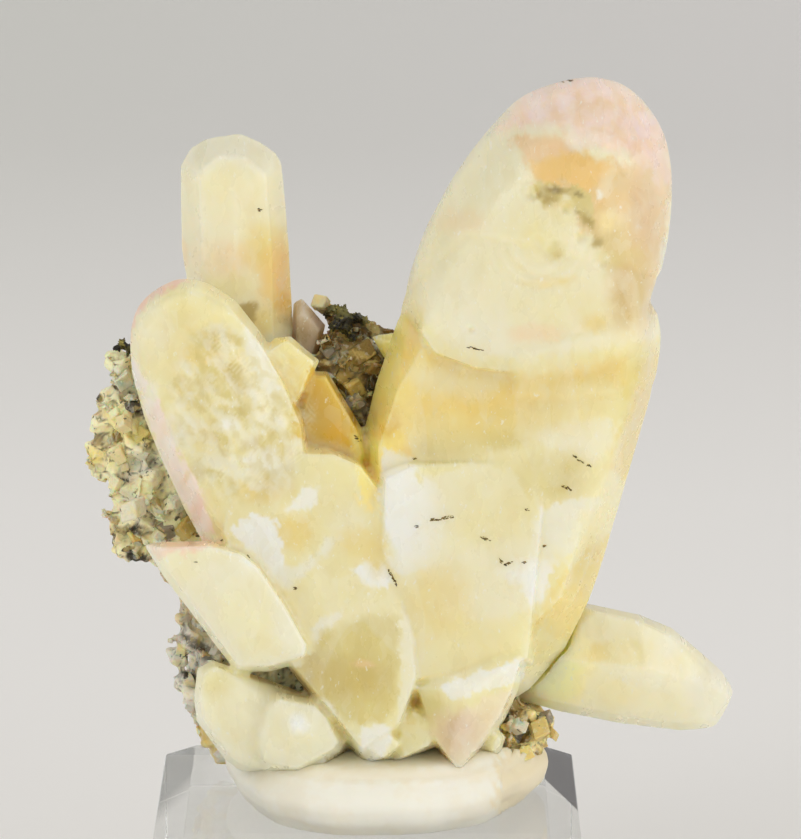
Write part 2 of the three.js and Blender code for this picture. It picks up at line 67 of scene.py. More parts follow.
def addCamera():
    data = bpy.data.cameras.new("photoCamera")
    data.sensor_width = 36
    data.lens = 36 * view["distance"] / view["tall"]
    data.clip_end = 20
    camera = bpy.data.objects.new("photoCamera", data)
    bpy.context.scene.collection.objects.link(camera)
    camera.location = (view["aim"] - forward * view["distance"]) * mm
    camera.rotation_euler = forward.to_track_quat("-Z", "Y").to_euler()
    bpy.context.scene.camera = camera


addCamera()
print("camera placed")


# helpers for objects and meshes

def selectOnly(piece):
    bpy.ops.object.select_all(action="DESELECT")
    piece.select_set(True)
    bpy.context.view_layer.objects.active = piece


def copyNode(node, name):
    # a merged copy of a CAD solid, to be refined
    selectOnly(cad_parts[node])
    bpy.ops.object.duplicate()
    piece = bpy.context.object
    piece.name = name
    piece.parent = None
    for key in list(piece.keys()):
        del piece[key]
    piece.data.materials.clear()
    bpy.ops.object.mode_set(mode="EDIT")
    bpy.ops.mesh.select_all(action="SELECT")
    bpy.ops.mesh.remove_doubles(threshold=0.000005)
    bpy.ops.mesh.customdata_custom_splitnormals_clear()
    bpy.ops.object.mode_set(mode="OBJECT")
    return piece


def applyModifier(piece, kind, **values):
    selectOnly(piece)
    modifier = piece.modifiers.new(kind.lower(), kind)
    for key, value in values.items():
        setattr(modifier, key, value)
    bpy.ops.object.modifier_apply(modifier=modifier.name)


def refine(piece, voxel, rounding):
    # even small faces, drawn back onto the CAD faces, then softened edges
    guide = bpy.data.objects.new("guide", piece.data.copy())
    bpy.context.scene.collection.objects.link(guide)
    applyModifier(piece, "REMESH", mode="VOXEL", voxel_size=voxel * mm, adaptivity=0)
    applyModifier(piece, "SHRINKWRAP", target=guide, wrap_method="NEAREST_SURFACEPOINT")
    bpy.data.objects.remove(guide)
    applyModifier(piece, "SMOOTH", factor=0.5, iterations=rounding)


def applyWeighted(piece, kind, weights, **values):
    # the modifier works as strongly as each vertex's weight says
    group = piece.vertex_groups.new(name="weights")
    for i in np.nonzero(weights)[0]:
        group.add([int(i)], float(weights[i]), "REPLACE")
    applyModifier(piece, kind, vertex_group="weights", **values)
    piece.vertex_groups.clear()


def trianglesIn(piece):
    return sum(len(face.vertices) - 2 for face in piece.data.polygons)


def thinBehind(piece, most):
    # fewer faces where the piece faces away from the photo
    weights = smoothStep(normalsOf(piece)[:, 1], -0.1, 0.3)
    ratio = min(1, most / trianglesIn(piece))
    applyWeighted(piece, "DECIMATE", weights, ratio=ratio, vertex_group_factor=100)


def settle(piece, material, slot, *nodes):
    # the piece gets its finish and stands for its CAD nodes
    selectOnly(piece)
    bpy.ops.object.shade_smooth()
    piece.data.materials.clear()
    piece.data.materials.append(material)
    if nodes:
        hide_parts(*nodes)
    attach(piece, "root")
    print(piece.name, trianglesIn(piece), "triangles")


def coordsOf(piece):
    # millimetres
    points = np.zeros(len(piece.data.vertices) * 3)
    piece.data.vertices.foreach_get("co", points)
    return points.reshape(-1, 3) / mm


def normalsOf(piece):
    normals = np.zeros(len(piece.data.vertices) * 3)
    piece.data.vertices.foreach_get("normal", normals)
    return normals.reshape(-1, 3)


def setCoords(piece, points):
    piece.data.vertices.foreach_set("co", (points * mm).ravel())
    piece.data.update()


def moveAlongNormals(piece, distances):
    setCoords(piece, coordsOf(piece) + normalsOf(piece) * distances[:, None])


def keepInside(piece):
    # at least 0.01 mm inside the CAD model's box
    low, high = np.array(cadBox) / mm
    setCoords(piece, np.clip(coordsOf(piece), low + 0.01, high - 0.01))


def noiseAt(points, scale, seed=0.0):
    # soft noise from -1 to 1, one bump about scale millimetres wide
    shift = Vector((seed, seed * 1.7, seed * 0.3))
    return np.array([noise.noise(Vector(p) / scale + shift) for p in points])


def levelsAt(points, scale, seed=0.0):
    # a scattered level from -1 to 1 for each slanted, drawn-out cell, as calcite splits
    slanted = points @ np.array(((1, 0.3, 0.22), (-0.42, 1, 0.1), (0.55, -0.35, 0.4))) / scale + seed * 7.3
    scattered = np.sin(np.floor(slanted) @ np.array((12.99, 78.23, 37.72))) * 4375.85
    return (scattered - np.floor(scattered)) * 2 - 1


def grainsAt(points, scale):
    # 0 in the cracks between grains about scale millimetres wide, 1 on the grains
    gaps = []
    for p in points:
        near = noise.voronoi(Vector(p) / scale)[0]
        gaps.append(near[1] - near[0])
    return smoothStep(np.array(gaps), 0.0, 0.45)


def smoothStep(value, low, high):
    t = np.clip((value - low) / (high - low), 0, 1)
    return t * t * (3 - 2 * t)


# drawn places: millimetres across and up as seen from the front, from the block's top

def drawnPlaces(points):
    offset = points - np.array(view["aim"])
    nearer = view["distance"] / (view["distance"] + offset @ np.array(forward))
    return view["aim"].x + offset[:, 0] * nearer, view["drawnUp"] + offset @ np.array(lift) * nearer


def depthInside(across, up, corners):
    # distance to a drawn outline in millimetres, positive inside it
    inside = np.zeros(len(across), bool)
    nearest = np.full(len(across), 1e9)
    for (ax, ay), (bx, by) in zip(corners, corners[1:] + corners[:1]):
        length = math.hypot(bx - ax, by - ay)
        along = np.clip(((across - ax) * (bx - ax) + (up - ay) * (by - ay)) / length**2, 0, 1)
        nearest = np.minimum(nearest, np.hypot(across - ax - along * (bx - ax), up - ay - along * (by - ay)))
        crossing = (ay > up) != (by > up)
        rise = by - ay if by != ay else 1e-9
        inside ^= crossing & (across < (up - ay) / rise * (bx - ax) + ax)
    return np.where(inside, nearest, -nearest)


def cloudMask(across, up, middle, radii, turn):
    # 1 in the middle of a soft oval, fading out past its rim
    dx, dy = across - middle[0], up - middle[1]
    cosine, sine = math.cos(math.radians(turn)), math.sin(math.radians(turn))
    reach = np.hypot((dx * cosine + dy * sine) / radii[0], (dy * cosine - dx * sine) / radii[1])
    return 1 - smoothStep(reach, 0.35, 1.35)


def mixZones(points, zones, ragged):
    # colours laid one over another at each point, and how much they cover; long splinters fray their rims
    across, up = drawnPlaces(points)
    splinters = np.column_stack([0.2 * across - 0.4 * up, 2.0 * across + 1.0 * up, 0 * up])
    fray = ragged * 2.2 * noiseAt(splinters, 1.4, 3)
    flat = np.column_stack([across, up, 0 * up])
    across = across + ragged * levelsAt(flat, 0.9, 9)
    up = up + ragged * levelsAt(flat, 0.9, 13)
    tint = np.zeros((len(points), 3))
    cover = np.zeros(len(points))
    for name, strength, *shape in zones:
        mask = 1
        if len(shape) != 3:
            mask = smoothStep(depthInside(across, up, shape[1]) + fray, -shape[0], shape[0])
        if len(shape) > 2:
            mask = mask * cloudMask(across, up, *shape[-3:])
        mask = mask * strength
        total = mask + cover * (1 - mask)
        share = np.divide(mask, total, out=np.zeros_like(mask), where=total > 0)
        tint += (tintOf(name) - tint) * share[:, None]
        cover = total
    return tint, cover


def writeTint(mesh, tint, cover):
    attribute = mesh.attributes.new("tint", "FLOAT_COLOR", "POINT")
    attribute.data.foreach_set("color", np.column_stack([tint, cover]).ravel())


def spreadOut(piece, values, rounds):
    # each vertex takes the mean of its neighbours, several times over
    mesh = piece.data
    ends = np.zeros(len(mesh.edges) * 2, int)
    mesh.edges.foreach_get("vertices", ends)
    first, second = ends.reshape(-1, 2).T
    count = len(mesh.vertices)
    near = np.bincount(ends, minlength=count)
    for _ in range(rounds):
        total = np.bincount(first, values[second], count) + np.bincount(second, values[first], count)
        values = total / near
    return values


def sharpnessOf(piece):
    # over 0 on edges, below 0 in creases
    points = coordsOf(piece)
    mean = np.column_stack([spreadOut(piece, points[:, axis], 1) for axis in range(3)])
    bulge = ((points - mean) * normalsOf(piece)).sum(axis=1)
    return spreadOut(piece, bulge, 1)


def mottle(points, tint, outline, pale, deep, strength):
    # splinters, paler or deeper, inside a drawn outline
    across, up = drawnPlaces(points)
    inside = smoothStep(depthInside(across, up, outline), -1, 2)
    splinters = np.column_stack([0.6 * across - 0.5 * up, 0.9 * across + 0.8 * up, 0 * up])
    flat = np.column_stack([across, up, 0 * up])
    for scale, seed in ((4.2, 31), (1.9, 32), (1.1, 33)):
        level = noiseAt(splinters, scale, seed) + 0.12 * levelsAt(flat, 0.45 * scale, seed)
        for name, share in ((pale, smoothStep(level, 0.14, 0.22)), (deep, smoothStep(-level, 0.16, 0.26))):
            tint += (tintOf(name) - tint) * (strength * inside * share)[:, None]


def coverFront(piece, cover):
    # painted on what faces the front; the rest keeps the material's own pattern
    return cover * smoothStep(-normalsOf(piece)[:, 1], -0.45, 0.0)


def paint(piece, zones, ragged=0.25, shade=1):
    # shade scales the tint; where it is below 1 it is painted shade
    tint, cover = mixZones(coordsOf(piece), zones, ragged)
    writeTint(piece.data, (tint.T * shade).T, coverFront(piece, cover))


# helpers for materials

palette = {
    "snow": "#EAE9DF", "ivory": "#E6E3CF", "cream": "#E7E1C1", "straw": "#E6DDAC", "yellow": "#E4CF84",
    "gold": "#EDCB66", "deepGold": "#DDB43C", "amber": "#D3B04A", "olive": "#D3C582", "deepOlive": "#C9B468",
    "moss": "#B7A264", "shade": "#94824E", "peach": "#E9CB9F", "orange": "#E8C57C", "tan": "#DCC594",
    "pink": "#E9CBBC", "rose": "#EDC2AC", "lilac": "#E8D3CE", "pearl": "#EADCCB", "greige": "#C9AE96",
    "stone": "#F2EECF", "sage": "#EBE6B8", "sand": "#F6E6AC", "butter": "#F6E18A", "ochre": "#D6BC68",
    "umber": "#947A3A", "ash": "#D2CFC0", "fog": "#E0DAC0", "slate": "#9A907E", "soot": "#3A3424",
    "bark": "#6B5004", "iron": "#221E12", "verdigris": "#79753F", "bronze": "#9A8E4C", "pale": "#D4CEA9",
    # the last two colours on the next line are painted light, laid over shaded roots and creases
    "skin": "#F3DFD3", "glow": "#FFEDAE", "creaseLightTint": "#F6F0C4",
    "puttyBase": "#EEE8D4", "puttyPale": "#ECE9DB", "puttyTan": "#E6D8B6",
    # the two wall colours on the next line are painted shade on the backdrop
    "floor": "#F5F2EE", "wallShadeLeft": "#CFCFC8", "wallShadeRight": "#DBD8D6",
}


def colour(name):
    # a named screen colour such as "#E4DAA5" as linear values
    values = [int(palette[name][i:i + 2], 16) / 255 for i in (1, 3, 5)]
    return tuple(v / 12.92 if v <= 0.04045 else ((v + 0.055) / 1.055) ** 2.4 for v in values) + (1,)


def tintOf(name):
    return np.array(colour(name)[:3])


def newMaterial(name):
    material = bpy.data.materials.new(name)
    material.use_nodes = True
    tree = material.node_tree
    return material, tree, tree.nodes["Principled BSDF"]


def setInputs(tree, node, inputs):
    # sockets are linked, plain values are set
    for key, value in inputs.items():
        if isinstance(value, bpy.types.NodeSocket):
            tree.links.new(value, node.inputs[key])
        else:
            node.inputs[key].default_value = value


def addNode(tree, kind, inputs=None, **settings):
    node = tree.nodes.new("ShaderNode" + kind)
    for key, value in settings.items():
        setattr(node, key, value)
    setInputs(tree, node, inputs or {})
    return node


def objectCoords(tree):
    return addNode(tree, "TexCoord").outputs["Object"]


def newGroup(name, inputs, output):
    # a node group with named sockets, to be placed in several materials
    group = bpy.data.node_groups.new(name, "ShaderNodeTree")
    for socket, kind in inputs.items():
        group.interface.new_socket(socket, in_out="INPUT", socket_type="NodeSocket" + kind)
    group.interface.new_socket(output[0], in_out="OUTPUT", socket_type="NodeSocket" + output[1])
    return group, group.nodes.new("NodeGroupInput").outputs, group.nodes.new("NodeGroupOutput").inputs[0]


def patchesGroup():
    # a mask from 0 to 1 in soft patches
    group, given, result = newGroup("softPatches", {
        "Coords": "Vector", "Scale": "Float", "Low": "Float", "High": "Float",
        "Detail": "Float", "Roughness": "Float", "Distortion": "Float",
    }, ("Mask", "Float"))
    texture = addNode(group, "TexNoise", {
        "Vector": given["Coords"], "Scale": given["Scale"], "Detail": given["Detail"],
        "Roughness": given["Roughness"], "Distortion": given["Distortion"],
    })
    mask = rangeOf(group, texture.outputs["Fac"], given["Low"], given["High"],
                   interpolation_type="SMOOTHSTEP")
    group.links.new(mask, result)
    return group


def paintedGroup():
    # what was painted on the piece lies over its pattern
    group, given, result = newGroup("paintedOver", {"Pattern": "Color"}, ("Shade", "Color"))
    painted = addNode(group, "Attribute", attribute_name="tint")
    shade = mixColour(group, painted.outputs["Alpha"], given["Pattern"], painted.outputs["Color"])
    group.links.new(shade, result)
    return group


def noiseMask(tree, coords, scale, low=0.4, high=0.6, detail=4.0, rough=0.55, warp=0.0):
    # a patch is about scale millimetres wide
    return addNode(tree, "Group", {
        "Coords": coords, "Scale": 1 / (scale * mm), "Low": low, "High": high,
        "Detail": detail, "Roughness": rough, "Distortion": warp,
    }, node_tree=softPatches).outputs["Mask"]


def fineNoise(tree, coords, scale, detail):
    return addNode(tree, "TexNoise", {"Vector": coords, "Scale": scale, "Detail": detail}).outputs["Fac"]


def rangeOf(tree, value, low, high, start=0.0, end=1.0, **settings):
    # from start to end as the value goes from low to high
    limits = {"From Min": low, "From Max": high, "To Min": start, "To Max": end}
    return addNode(tree, "MapRange", {"Value": value, **limits}, **settings).outputs["Result"]


def maths(tree, operation, a, b):
    return addNode(tree, "Math", {0: a, 1: b}, operation=operation).outputs[0]


def turnedCoords(tree, coords, angles, scales):
    return addNode(tree, "Mapping", {"Vector": coords, "Rotation": angles, "Scale": scales}).outputs["Vector"]


def addBump(tree, surface, height, strength, distance):
    bump = addNode(tree, "Bump", {"Height": height, "Strength": strength, "Distance": distance * mm})
    tree.links.new(bump.outputs["Normal"], surface.inputs["Normal"])


def mixColour(tree, factor, under, over, blend="MIX"):
    return addNode(tree, "Mix", {0: factor, 6: under, 7: over},
                   data_type="RGBA", blend_type=blend, clamp_factor=True).outputs[2]


def layOver(tree, under, mask, strength, name):
    return mixColour(tree, maths(tree, "MULTIPLY", mask, strength), under, colour(name))


def overPaint(tree, shade):
    return addNode(tree, "Group", {"Pattern": shade}, node_tree=paintedOver).outputs["Shade"]


softPatches = patchesGroup()
paintedOver = paintedGroup()


# calcite: milky crystals with cleavage veils, pink skins, golden and olive depths

calcite = {
    "voxel": {"grown": 0.33, "others": 0.3},  # mm
    "triangles": 196000,  # at most in a piece
    "rounding": 2,  # rounds of softening of all edges
    "melting": 160,  # and of those on rounded faces
    "swell": 0.4,  # mm, makes up for what melts away
    "waves": ((0.05, 6, 1), (0.02, 2.2, 4)),  # (height, width, seed) of gentle unevenness
    "crownEtch": 0.08,  # mm, the crown's small pits
    "steps": 0.03,  # mm, on all faces
    "hackle": 0.22,  # mm more, in the broken middle of the leaning crystal
    "arcs": {"middle": (20.5, 65.5), "height": 0.06, "apart": 1.5},
    # the next four shares are painted light and shade in the tint: edge highlight, light in creases, light on
    # sides, shade on tops
    "edgeHighlight": 0.12,
    "creaseLight": 0.3,
    "paintedSideLight": 0.18,
    "paintedTopShade": 0.14,
    "depth": 8,  # mm, how far light wanders inside
}

calciteZones = {
    "grown": [
        # big crystal
        ("straw", 0.95, 1, [(3.3, 60.9), (38.1, 60.9), (38.1, 44.4), (32.2, 27.8), (26.3, 13.7),
            (12.2, -0.5), (3.9, 11.3), (-1.4, 27.8), (-3.2, 43.2)]),
        ("gold", 0.95, 0.25, [(2.5, 58.2), (6.1, 55.9), (5.9, 54.1), (7.5, 52.5), (8.4, 50),
            (5.4, 46.4), (5, 44.1), (5.2, 40), (3.6, 40.7), (1.9, 41), (1.4, 35), (-0.2, 35.5),
            (-2.7, 44.1), (-1.4, 49.1)], (1.8, 46.4), (7.7, 12.7), 0),
        ("butter", 0.85, 2, [(3.3, 59.7), (4.1, 53.2), (8.6, 50.7), (6.8, 44.4), (3.9, 39.6),
            (2.1, 32.6), (-2, 30.2), (-2, 43.2)]),
        ("gold", 0.6, (2, 50), (2.3, 5.0), -15),
        ("deepGold", 0.7, (2.2, 45), (1.9, 2.8), 0),
        ("gold", 0.5, (3.7, 50.4), (3.0, 3.0), 0),
        ("deepGold", 0.8, (2.3, 44.4), (1.7, 2.2), 0),
        ("yellow", 0.9, 1.6, [(5.4, 52.1), (10.4, 50.9), (15.4, 49.6), (19.8, 49.2), (25.3, 50.4),
            (29.8, 51.9), (32.3, 49.6), (27.8, 48.7), (20.3, 47.4), (13.4, 47.4), (7.9, 49.4)]),
        ("cream", 0.8, (7.9, 48.9), (3.2, 1.9), -15),
        ("yellow", 0.8, (14.1, 45.2), (3.7, 2.7), 0),
        ("olive", 0.5, (9.9, 41.5), (6.0, 2.5), 15),
        ("yellow", 0.6, (15.7, 46.7), (10.6, 3.1), 5),
        ("olive", 0.8, (16.1, 42.2), (3.0, 1.5), 0),
        ("straw", 0.8, (22.8, 46.4), (6.5, 2.2), 0),
        ("cream", 0.9, 0.5, [(19.1, 42.7), (22.8, 44.2), (29, 44.4), (29.3, 42.2), (27.1, 39.3),
            (24.3, 40.5), (21.6, 41)]),
        ("olive", 0.75, (21.8, 37.5), (5.0, 3.2), 10),
        ("yellow", 0.9, 0.8, [(29.8, 48.9), (34.7, 52.6), (34.3, 46.7), (32.5, 40.7), (31, 37.2),
            (28.5, 38.7), (29.5, 42.7), (31, 46.2)]),
        ("peach", 0.6, (32.8, 46.4), (1.2, 6.0), -12),
        ("cream", 0.9, 0.15, [(6.4, 37.5), (11.9, 39.1), (16.9, 38.5), (20.3, 33.6), (21.8, 28),
            (21.1, 22.8), (15.4, 20.8), (7.9, 20.8), (3.7, 26.3), (3, 31.5), (4.2, 36.7)]),
        ("straw", 0.8, (15.4, 32.3), (6.5, 3.0), 15),
        ("straw", 0.6, (6.2, 23.3), (3.0, 3.0), 0),
        ("straw", 0.55, (15.7, 35.5), (6.1, 5.3), 0),
        ("snow", 1, 0.15, [(2.2, 41), (3.6, 40.7), (5.1, 39.8), (6.1, 37.4), (11.8, 35.5), (11.8, 27.3),
            (5, 26.2), (2.3, 26.4), (1.6, 29.1), (1.3, 35)], (2.7, 33.7), (5.9, 9.5), 0),
        ("ivory", 0.95, 0.2, [(20.2, 33.6), (22.2, 34.5), (25.9, 35.2), (28.1, 35.6), (25.9, 30.9),
            (23.6, 27.8), (22.2, 27.3), (18.6, 27.3)], (23.6, 32.5), (5.4, 5.4), 0),
        ("snow", 1, 0.2, [(12.2, 29.1), (22.5, 27.8), (20.6, 22.9), (19.5, 22.6), (16.8, 25.5),
            (14.1, 26.4)], (19.7, 25), (4.3, 3.6), 0),
        ("straw", 0.8, (26.6, 31.5), (2.2, 3.5), -25),
        ("yellow", 0.85, 0.4, [(29, 31.3), (28.7, 28.8), (26.6, 23.1), (23.6, 17.9), (19.8, 20.3),
            (22.3, 25.3), (26.1, 29)]),
        ("olive", 0.5, (26.1, 27.8), (1.5, 4.0), -25),
        ("olive", 0.6, (21, 18.4), (2.1, 3.5), 0),
        ("deepGold", 0.7, (2.1, 44.6), (1.5, 2.4), 0),
        ("yellow", 0.4, (6.8, 49.1), (4.7, 3.1), 0),
        ("yellow", 0.6, (14.5, 45.3), (13.6, 4.0), 5),
        ("gold", 0.3, (13.3, 46.7), (8.3, 1.7), 5),
        ("olive", 0.6, (32.2, 46.7), (2.6, 8.8), -10),
        ("cream", 0.35, (12.2, 48.1), (3.1, 1.7), 0),
        ("straw", 0.8, (12.2, 18.4), (5.9, 3.5), 0),
        ("yellow", 0.5, (8.6, 23.1), (4.7, 4.7), 0),
        ("cream", 0.7, (15.7, 23.1), (3.5, 2.9), 0),
        ("olive", 0.85, (7.1, 10.3), (2.4, 2.4), 0),
        ("tan", 0.7, 1, [(7.5, 9.4), (12.3, 10), (15, 10), (17.4, 11.8), (14.4, 7.6), (12.3, 4.1),
            (10.7, 2.5), (9.6, 3.7), (8.1, 6.1)]),
        ("peach", 0.35, (10.4, 5.2), (1.7, 1.7), 0),
        ("greige", 0.6, (11.2, 7.2), (2.8, 3.1), 0),
        ("snow", 1, 0.15, [(8.7, 12.9), (11.6, 14.2), (14.3, 15), (18.9, 16.4), (18.1, 13.8),
            (15.2, 12.6), (13, 12.1), (10.2, 11.3)], (13, 13.8), (8.6, 3.4), 15),
        ("pearl", 0.45, 0.3, [(10.7, 9.7), (15.2, 12.4), (17.7, 12.9), (16.6, 9.9), (13.4, 5.2),
            (10.7, 2.3), (9.6, 4.2)]),
        # cap
        ("cream", 0.95, 0.7, [(3.9, 67.4), (9.8, 77.4), (14.5, 82.1), (19.8, 86.8), (27, 88),
            (34.6, 84.5), (39.3, 76.2), (39.3, 68), (38.1, 58.5), (34.2, 54), (27.5, 52.7),
            (20.4, 51.8), (13.3, 51.8), (8.6, 53.5), (6.4, 56.4), (5.3, 62.1)]),
        ("ivory", 0.6, (14.1, 58.5), (6.7, 6.3), 0),
        ("straw", 0.5, (16.9, 66.2), (8.3, 9.4), -20),
        ("ivory", 0.3, (16, 70.7), (2.9, 4.8), -20),
        ("straw", 0.6, (23.2, 57.3), (7.9, 2.9), 0),
        ("peach", 0.35, (11.2, 67.8), (3.1, 1.7), 0),
        ("olive", 0.7, (22, 64.2), (1.4, 1.4), 0),
        ("straw", 0.9, (20.1, 65.7), (1.9, 2.6), 0),
        ("yellow", 0.5, (21.8, 60.6), (3.6, 0.7), 5),
        ("peach", 0.5, (19.8, 54.6), (3.6, 1.2), 0),
        ("yellow", 0.6, (26.8, 55.8), (1.7, 1.2), 0),
        ("tan", 0.95, 0.5, [(17.4, 77.6), (23.7, 76.9), (27, 74.7), (29.6, 74.7), (35.5, 74.7),
            (35.6, 69.1), (34.7, 63.2), (33.6, 59.6), (31, 61.4), (28.1, 64.4), (25.5, 66.9),
            (23.7, 69.1), (20.7, 69.7), (19.9, 72.1), (18.9, 74.7)]),
        ("peach", 0.5, (32.1, 69.1), (2.9, 5.9), 0),
        ("pink", 0.95, 1.2, [(15, 78.7), (16.5, 80.1), (19.8, 83.7), (23.9, 84.9), (27.1, 85.7),
            (31.9, 82.8), (35.5, 77.7), (35.9, 72.2), (33.6, 74.3), (31.2, 75.8), (28.5, 76.8),
            (25.6, 78.2), (22.2, 79.6), (18.9, 79.4)]),
        ("rose", 0.7, (22.5, 82.8), (3.6, 1.3), 10),
        ("skin", 0.6, (25.6, 82.3), (9.6, 3.9), 0),
        ("lilac", 0.6, (20.8, 81.1), (2.6, 1.2), 20),
        ("peach", 0.8, (26.1, 80.9), (3.6, 1.4), 15),
        ("peach", 0.5, (30, 77.7), (2.2, 1.2), 30),
        ("lilac", 0.8, (33.1, 78.7), (2.2, 2.2), 0),
        ("pearl", 0.8, (26.3, 77.7), (3.6, 1.4), 20),
        ("lilac", 0.5, (34.5, 74.1), (1.0, 3.1), 0),
        ("peach", 0.9, 0.8, [(16.9, 77.2), (19.8, 78.2), (23.2, 78), (23.9, 76), (22, 75.3),
            (19.4, 74.8), (18.2, 75.8)]),
        ("orange", 0.9, 0.6, [(22, 75.6), (25.6, 76.3), (26.8, 75.1), (29, 75.3), (29.2, 73.1),
            (28.3, 71.7), (25.9, 71.5), (23.2, 72.2), (19.8, 72.7), (19.1, 74.8)]),
        ("orange", 0.5, (28.5, 70.3), (2.6, 1.9), 0),
        ("tan", 0.6, (29.2, 72.2), (2.2, 1.4), 0),
        ("olive", 0.85, 0.15, [(19.5, 72.3), (21.4, 72.6), (22.8, 72), (24.4, 72.2), (26.1, 71.3),
            (26.5, 69.7), (27.1, 67.7), (26.1, 67), (24.9, 68.7), (23.5, 69.6), (22.3, 69.9),
            (21, 69.5), (19.9, 70.3)]),
        ("moss", 0.8, (21.6, 70.3), (0.9, 0.7), 0),
        ("moss", 0.8, (22.8, 71.5), (1.7, 0.5), -10),
        ("shade", 0.8, (22.3, 71.6), (0.5, 0.7), -20),
        ("shade", 0.7, (25, 70.9), (0.5, 0.5), 0),
        ("moss", 0.6, (21, 71.2), (0.9, 1.1), 0),
        ("cream", 0.7, (21.5, 72), (0.5, 0.4), 0),
        ("tan", 0.5, (29.6, 68.9), (2.6, 3.5), 0),
        ("olive", 0.4, (28.9, 65.6), (2.8, 3.3), 30),
        ("shade", 0.8, (24.8, 68.8), (0.5, 0.5), 0),
        ("moss", 0.9, (26, 68), (0.6, 1.1), 30),
        ("cream", 0.8, (23.5, 70.7), (0.7, 0.5), 0),
        # two snow dots: painted glints on the cap
        ("snow", 0.9, (27.5, 71), (0.5, 0.4), 0),
        ("snow", 0.8, (32, 67.1), (0.4, 0.4), 0),
        ("moss", 0.9, (27.1, 65.3), (0.8, 0.7), 30),
        ("greige", 0.3, (32.8, 68.6), (2.1, 5.3), 0),
        ("olive", 0.9, (30, 63), (2.6, 1.3), 30),
        ("tan", 0.9, (31.5, 59.7), (3.1, 5.9), 0),
        ("moss", 0.35, (31.5, 59), (2.6, 4.2), 0),
        ("sand", 0.5, (28.3, 67.8), (1.4, 1.4), 0),
        ("straw", 0.7, (23.2, 68.8), (1.7, 1.7), 0),
        # leaning crystal
        ("straw", 0.95, 1, [(-30.3, 56.2), (-26.8, 62.7), (-19.7, 63.2), (-9.1, 56.2), (-4.4, 49.1),
            (-5.5, 43.2), (-0.2, 42), (1.3, 34.9), (3.9, 23.1), (6.3, 13.7), (0.4, 0.7), (-9.1, 11.3),
            (-17.3, 26.7), (-24.4, 37.3), (-30.3, 49.1)]),
        ("cream", 0.7, (-25, 55.5), (2.6, 4.0), 0),
        ("cream", 0.6, (-19.1, 48.8), (3.0, 1.4), 0),
        ("yellow", 0.6, (-19.8, 52), (2.6, 1.4), 0),
        ("olive", 0.9, (-16.6, 50.2), (1.4, 1.3), 0),
        ("olive", 0.8, (-15.4, 45.5), (2.6, 1.2), 10),
        ("olive", 0.8, (-13.4, 41.3), (2.1, 0.7), 0),
        ("olive", 0.7, (-15.4, 53.9), (1.4, 0.7), 0),
        ("moss", 0.5, (-21.9, 42.7), (0.9, 1.4), 0),
        ("moss", 0.6, (-20.3, 38.3), (1.4, 1.4), -30),
        ("ivory", 0.8, (-17.7, 55.1), (1.4, 0.8), 0),
        ("ivory", 0.9, 0.5, [(-14.5, 55.1), (-12.6, 53.9), (-11.7, 51.6), (-9.8, 48.3), (-8.4, 47.2),
            (-9.3, 45.5), (-11.7, 46.9), (-13.1, 50.2), (-14, 52)]),
        ("ivory", 0.6, (-14.9, 48.3), (2.1, 0.9), -20),
        # snow dot: a painted highlight on the leaning crystal
        ("snow", 0.9, (-16.3, 43.9), (1.6, 0.8), 0),
        ("ivory", 0.5, (-11.7, 43.9), (2.8, 1.4), 20),
        ("ivory", 0.9, 0.3, [(-14.9, 39.9), (-11.7, 41.1), (-9.3, 38.8), (-9, 38.2), (-11.7, 38.1),
            (-14.5, 38.5)]),
        ("yellow", 0.8, (-12.1, 36.4), (3.5, 2.1), 0),
        ("yellow", 0.8, (-8.6, 31.1), (2.6, 2.3), 0),
        ("yellow", 0.8, (0.6, 36.9), (0.8, 3.0), 0),
        ("cream", 0.6, (-2.3, 32.2), (2.3, 2.8), 0),
        ("snow", 0.85, 0.25, [(-9.8, 33.6), (-7.5, 36.2), (-5.6, 36.5), (-6.3, 33.9)]),
        ("snow", 1, 0.12, [(-15.5, 32.3), (-13.5, 33.4), (-11, 32.7), (-10.5, 31.8), (-10.8, 30.9),
            (-9.6, 30), (-10.3, 29.1), (-9.6, 26.8), (-9.6, 24.6), (-10.5, 24.4), (-11.2, 25.5),
            (-13.3, 27.8), (-14.2, 29.1), (-16, 30.9)]),
        ("ivory", 0.8, 0.4, [(-10.5, 26.9), (-7, 27.5), (-4.4, 30.6), (-2.7, 30.6), (-6.1, 27.3),
            (-9.2, 24.3), (-10.5, 24.5)]),
        ("yellow", 0.6, (-1.1, 29.7), (2.6, 2.0), -20),
        ("snow", 1, 0.4, [(-1.8, 26.7), (0.2, 27.8), (1.9, 26.9), (3.2, 25.1), (1.1, 24.5),
            (-0.9, 25.4)]),
        ("yellow", 0.5, (1.1, 28.6), (1.3, 3.5), 0),
        ("ivory", 0.9, 0.3, [(-5.7, 21.2), (-4, 21.4), (-2.2, 23), (-2.9, 21.2), (-5.3, 18.6),
            (-6.4, 17.5), (-6.5, 19.5)]),
        ("olive", 0.85, 0.8, [(-6.3, 17.2), (-5.4, 19.2), (-2, 20.9), (1.6, 21.6), (3.9, 21), (4, 17.4),
            (3.8, 13.8), (3.4, 10.6), (1.6, 8.6), (-1.1, 8.2), (-3.8, 9.7), (-6.1, 11.5),
            (-8.4, 14.2)]),
        ("deepOlive", 0.65, (-2.2, 14), (5.0, 2.8), -10),
        ("deepOlive", 0.7, 0.3, [(-9.3, 14.6), (-6.5, 17), (-5.1, 16), (-4.4, 11.3), (-2.2, 6.8),
            (-3.4, 6.8), (-6, 10.9), (-8.1, 12)]),
        ("moss", 0.7, (-7.7, 12.9), (2.0, 1.3), 40),
        ("peach", 0.5, (-0.3, 15.5), (1.5, 0.5), -10),
        ("cream", 0.95, 0.2, [(4.1, 22.9), (5.7, 18.8), (6.4, 14.2), (5.7, 12), (4.3, 8.8), (3.4, 7.9),
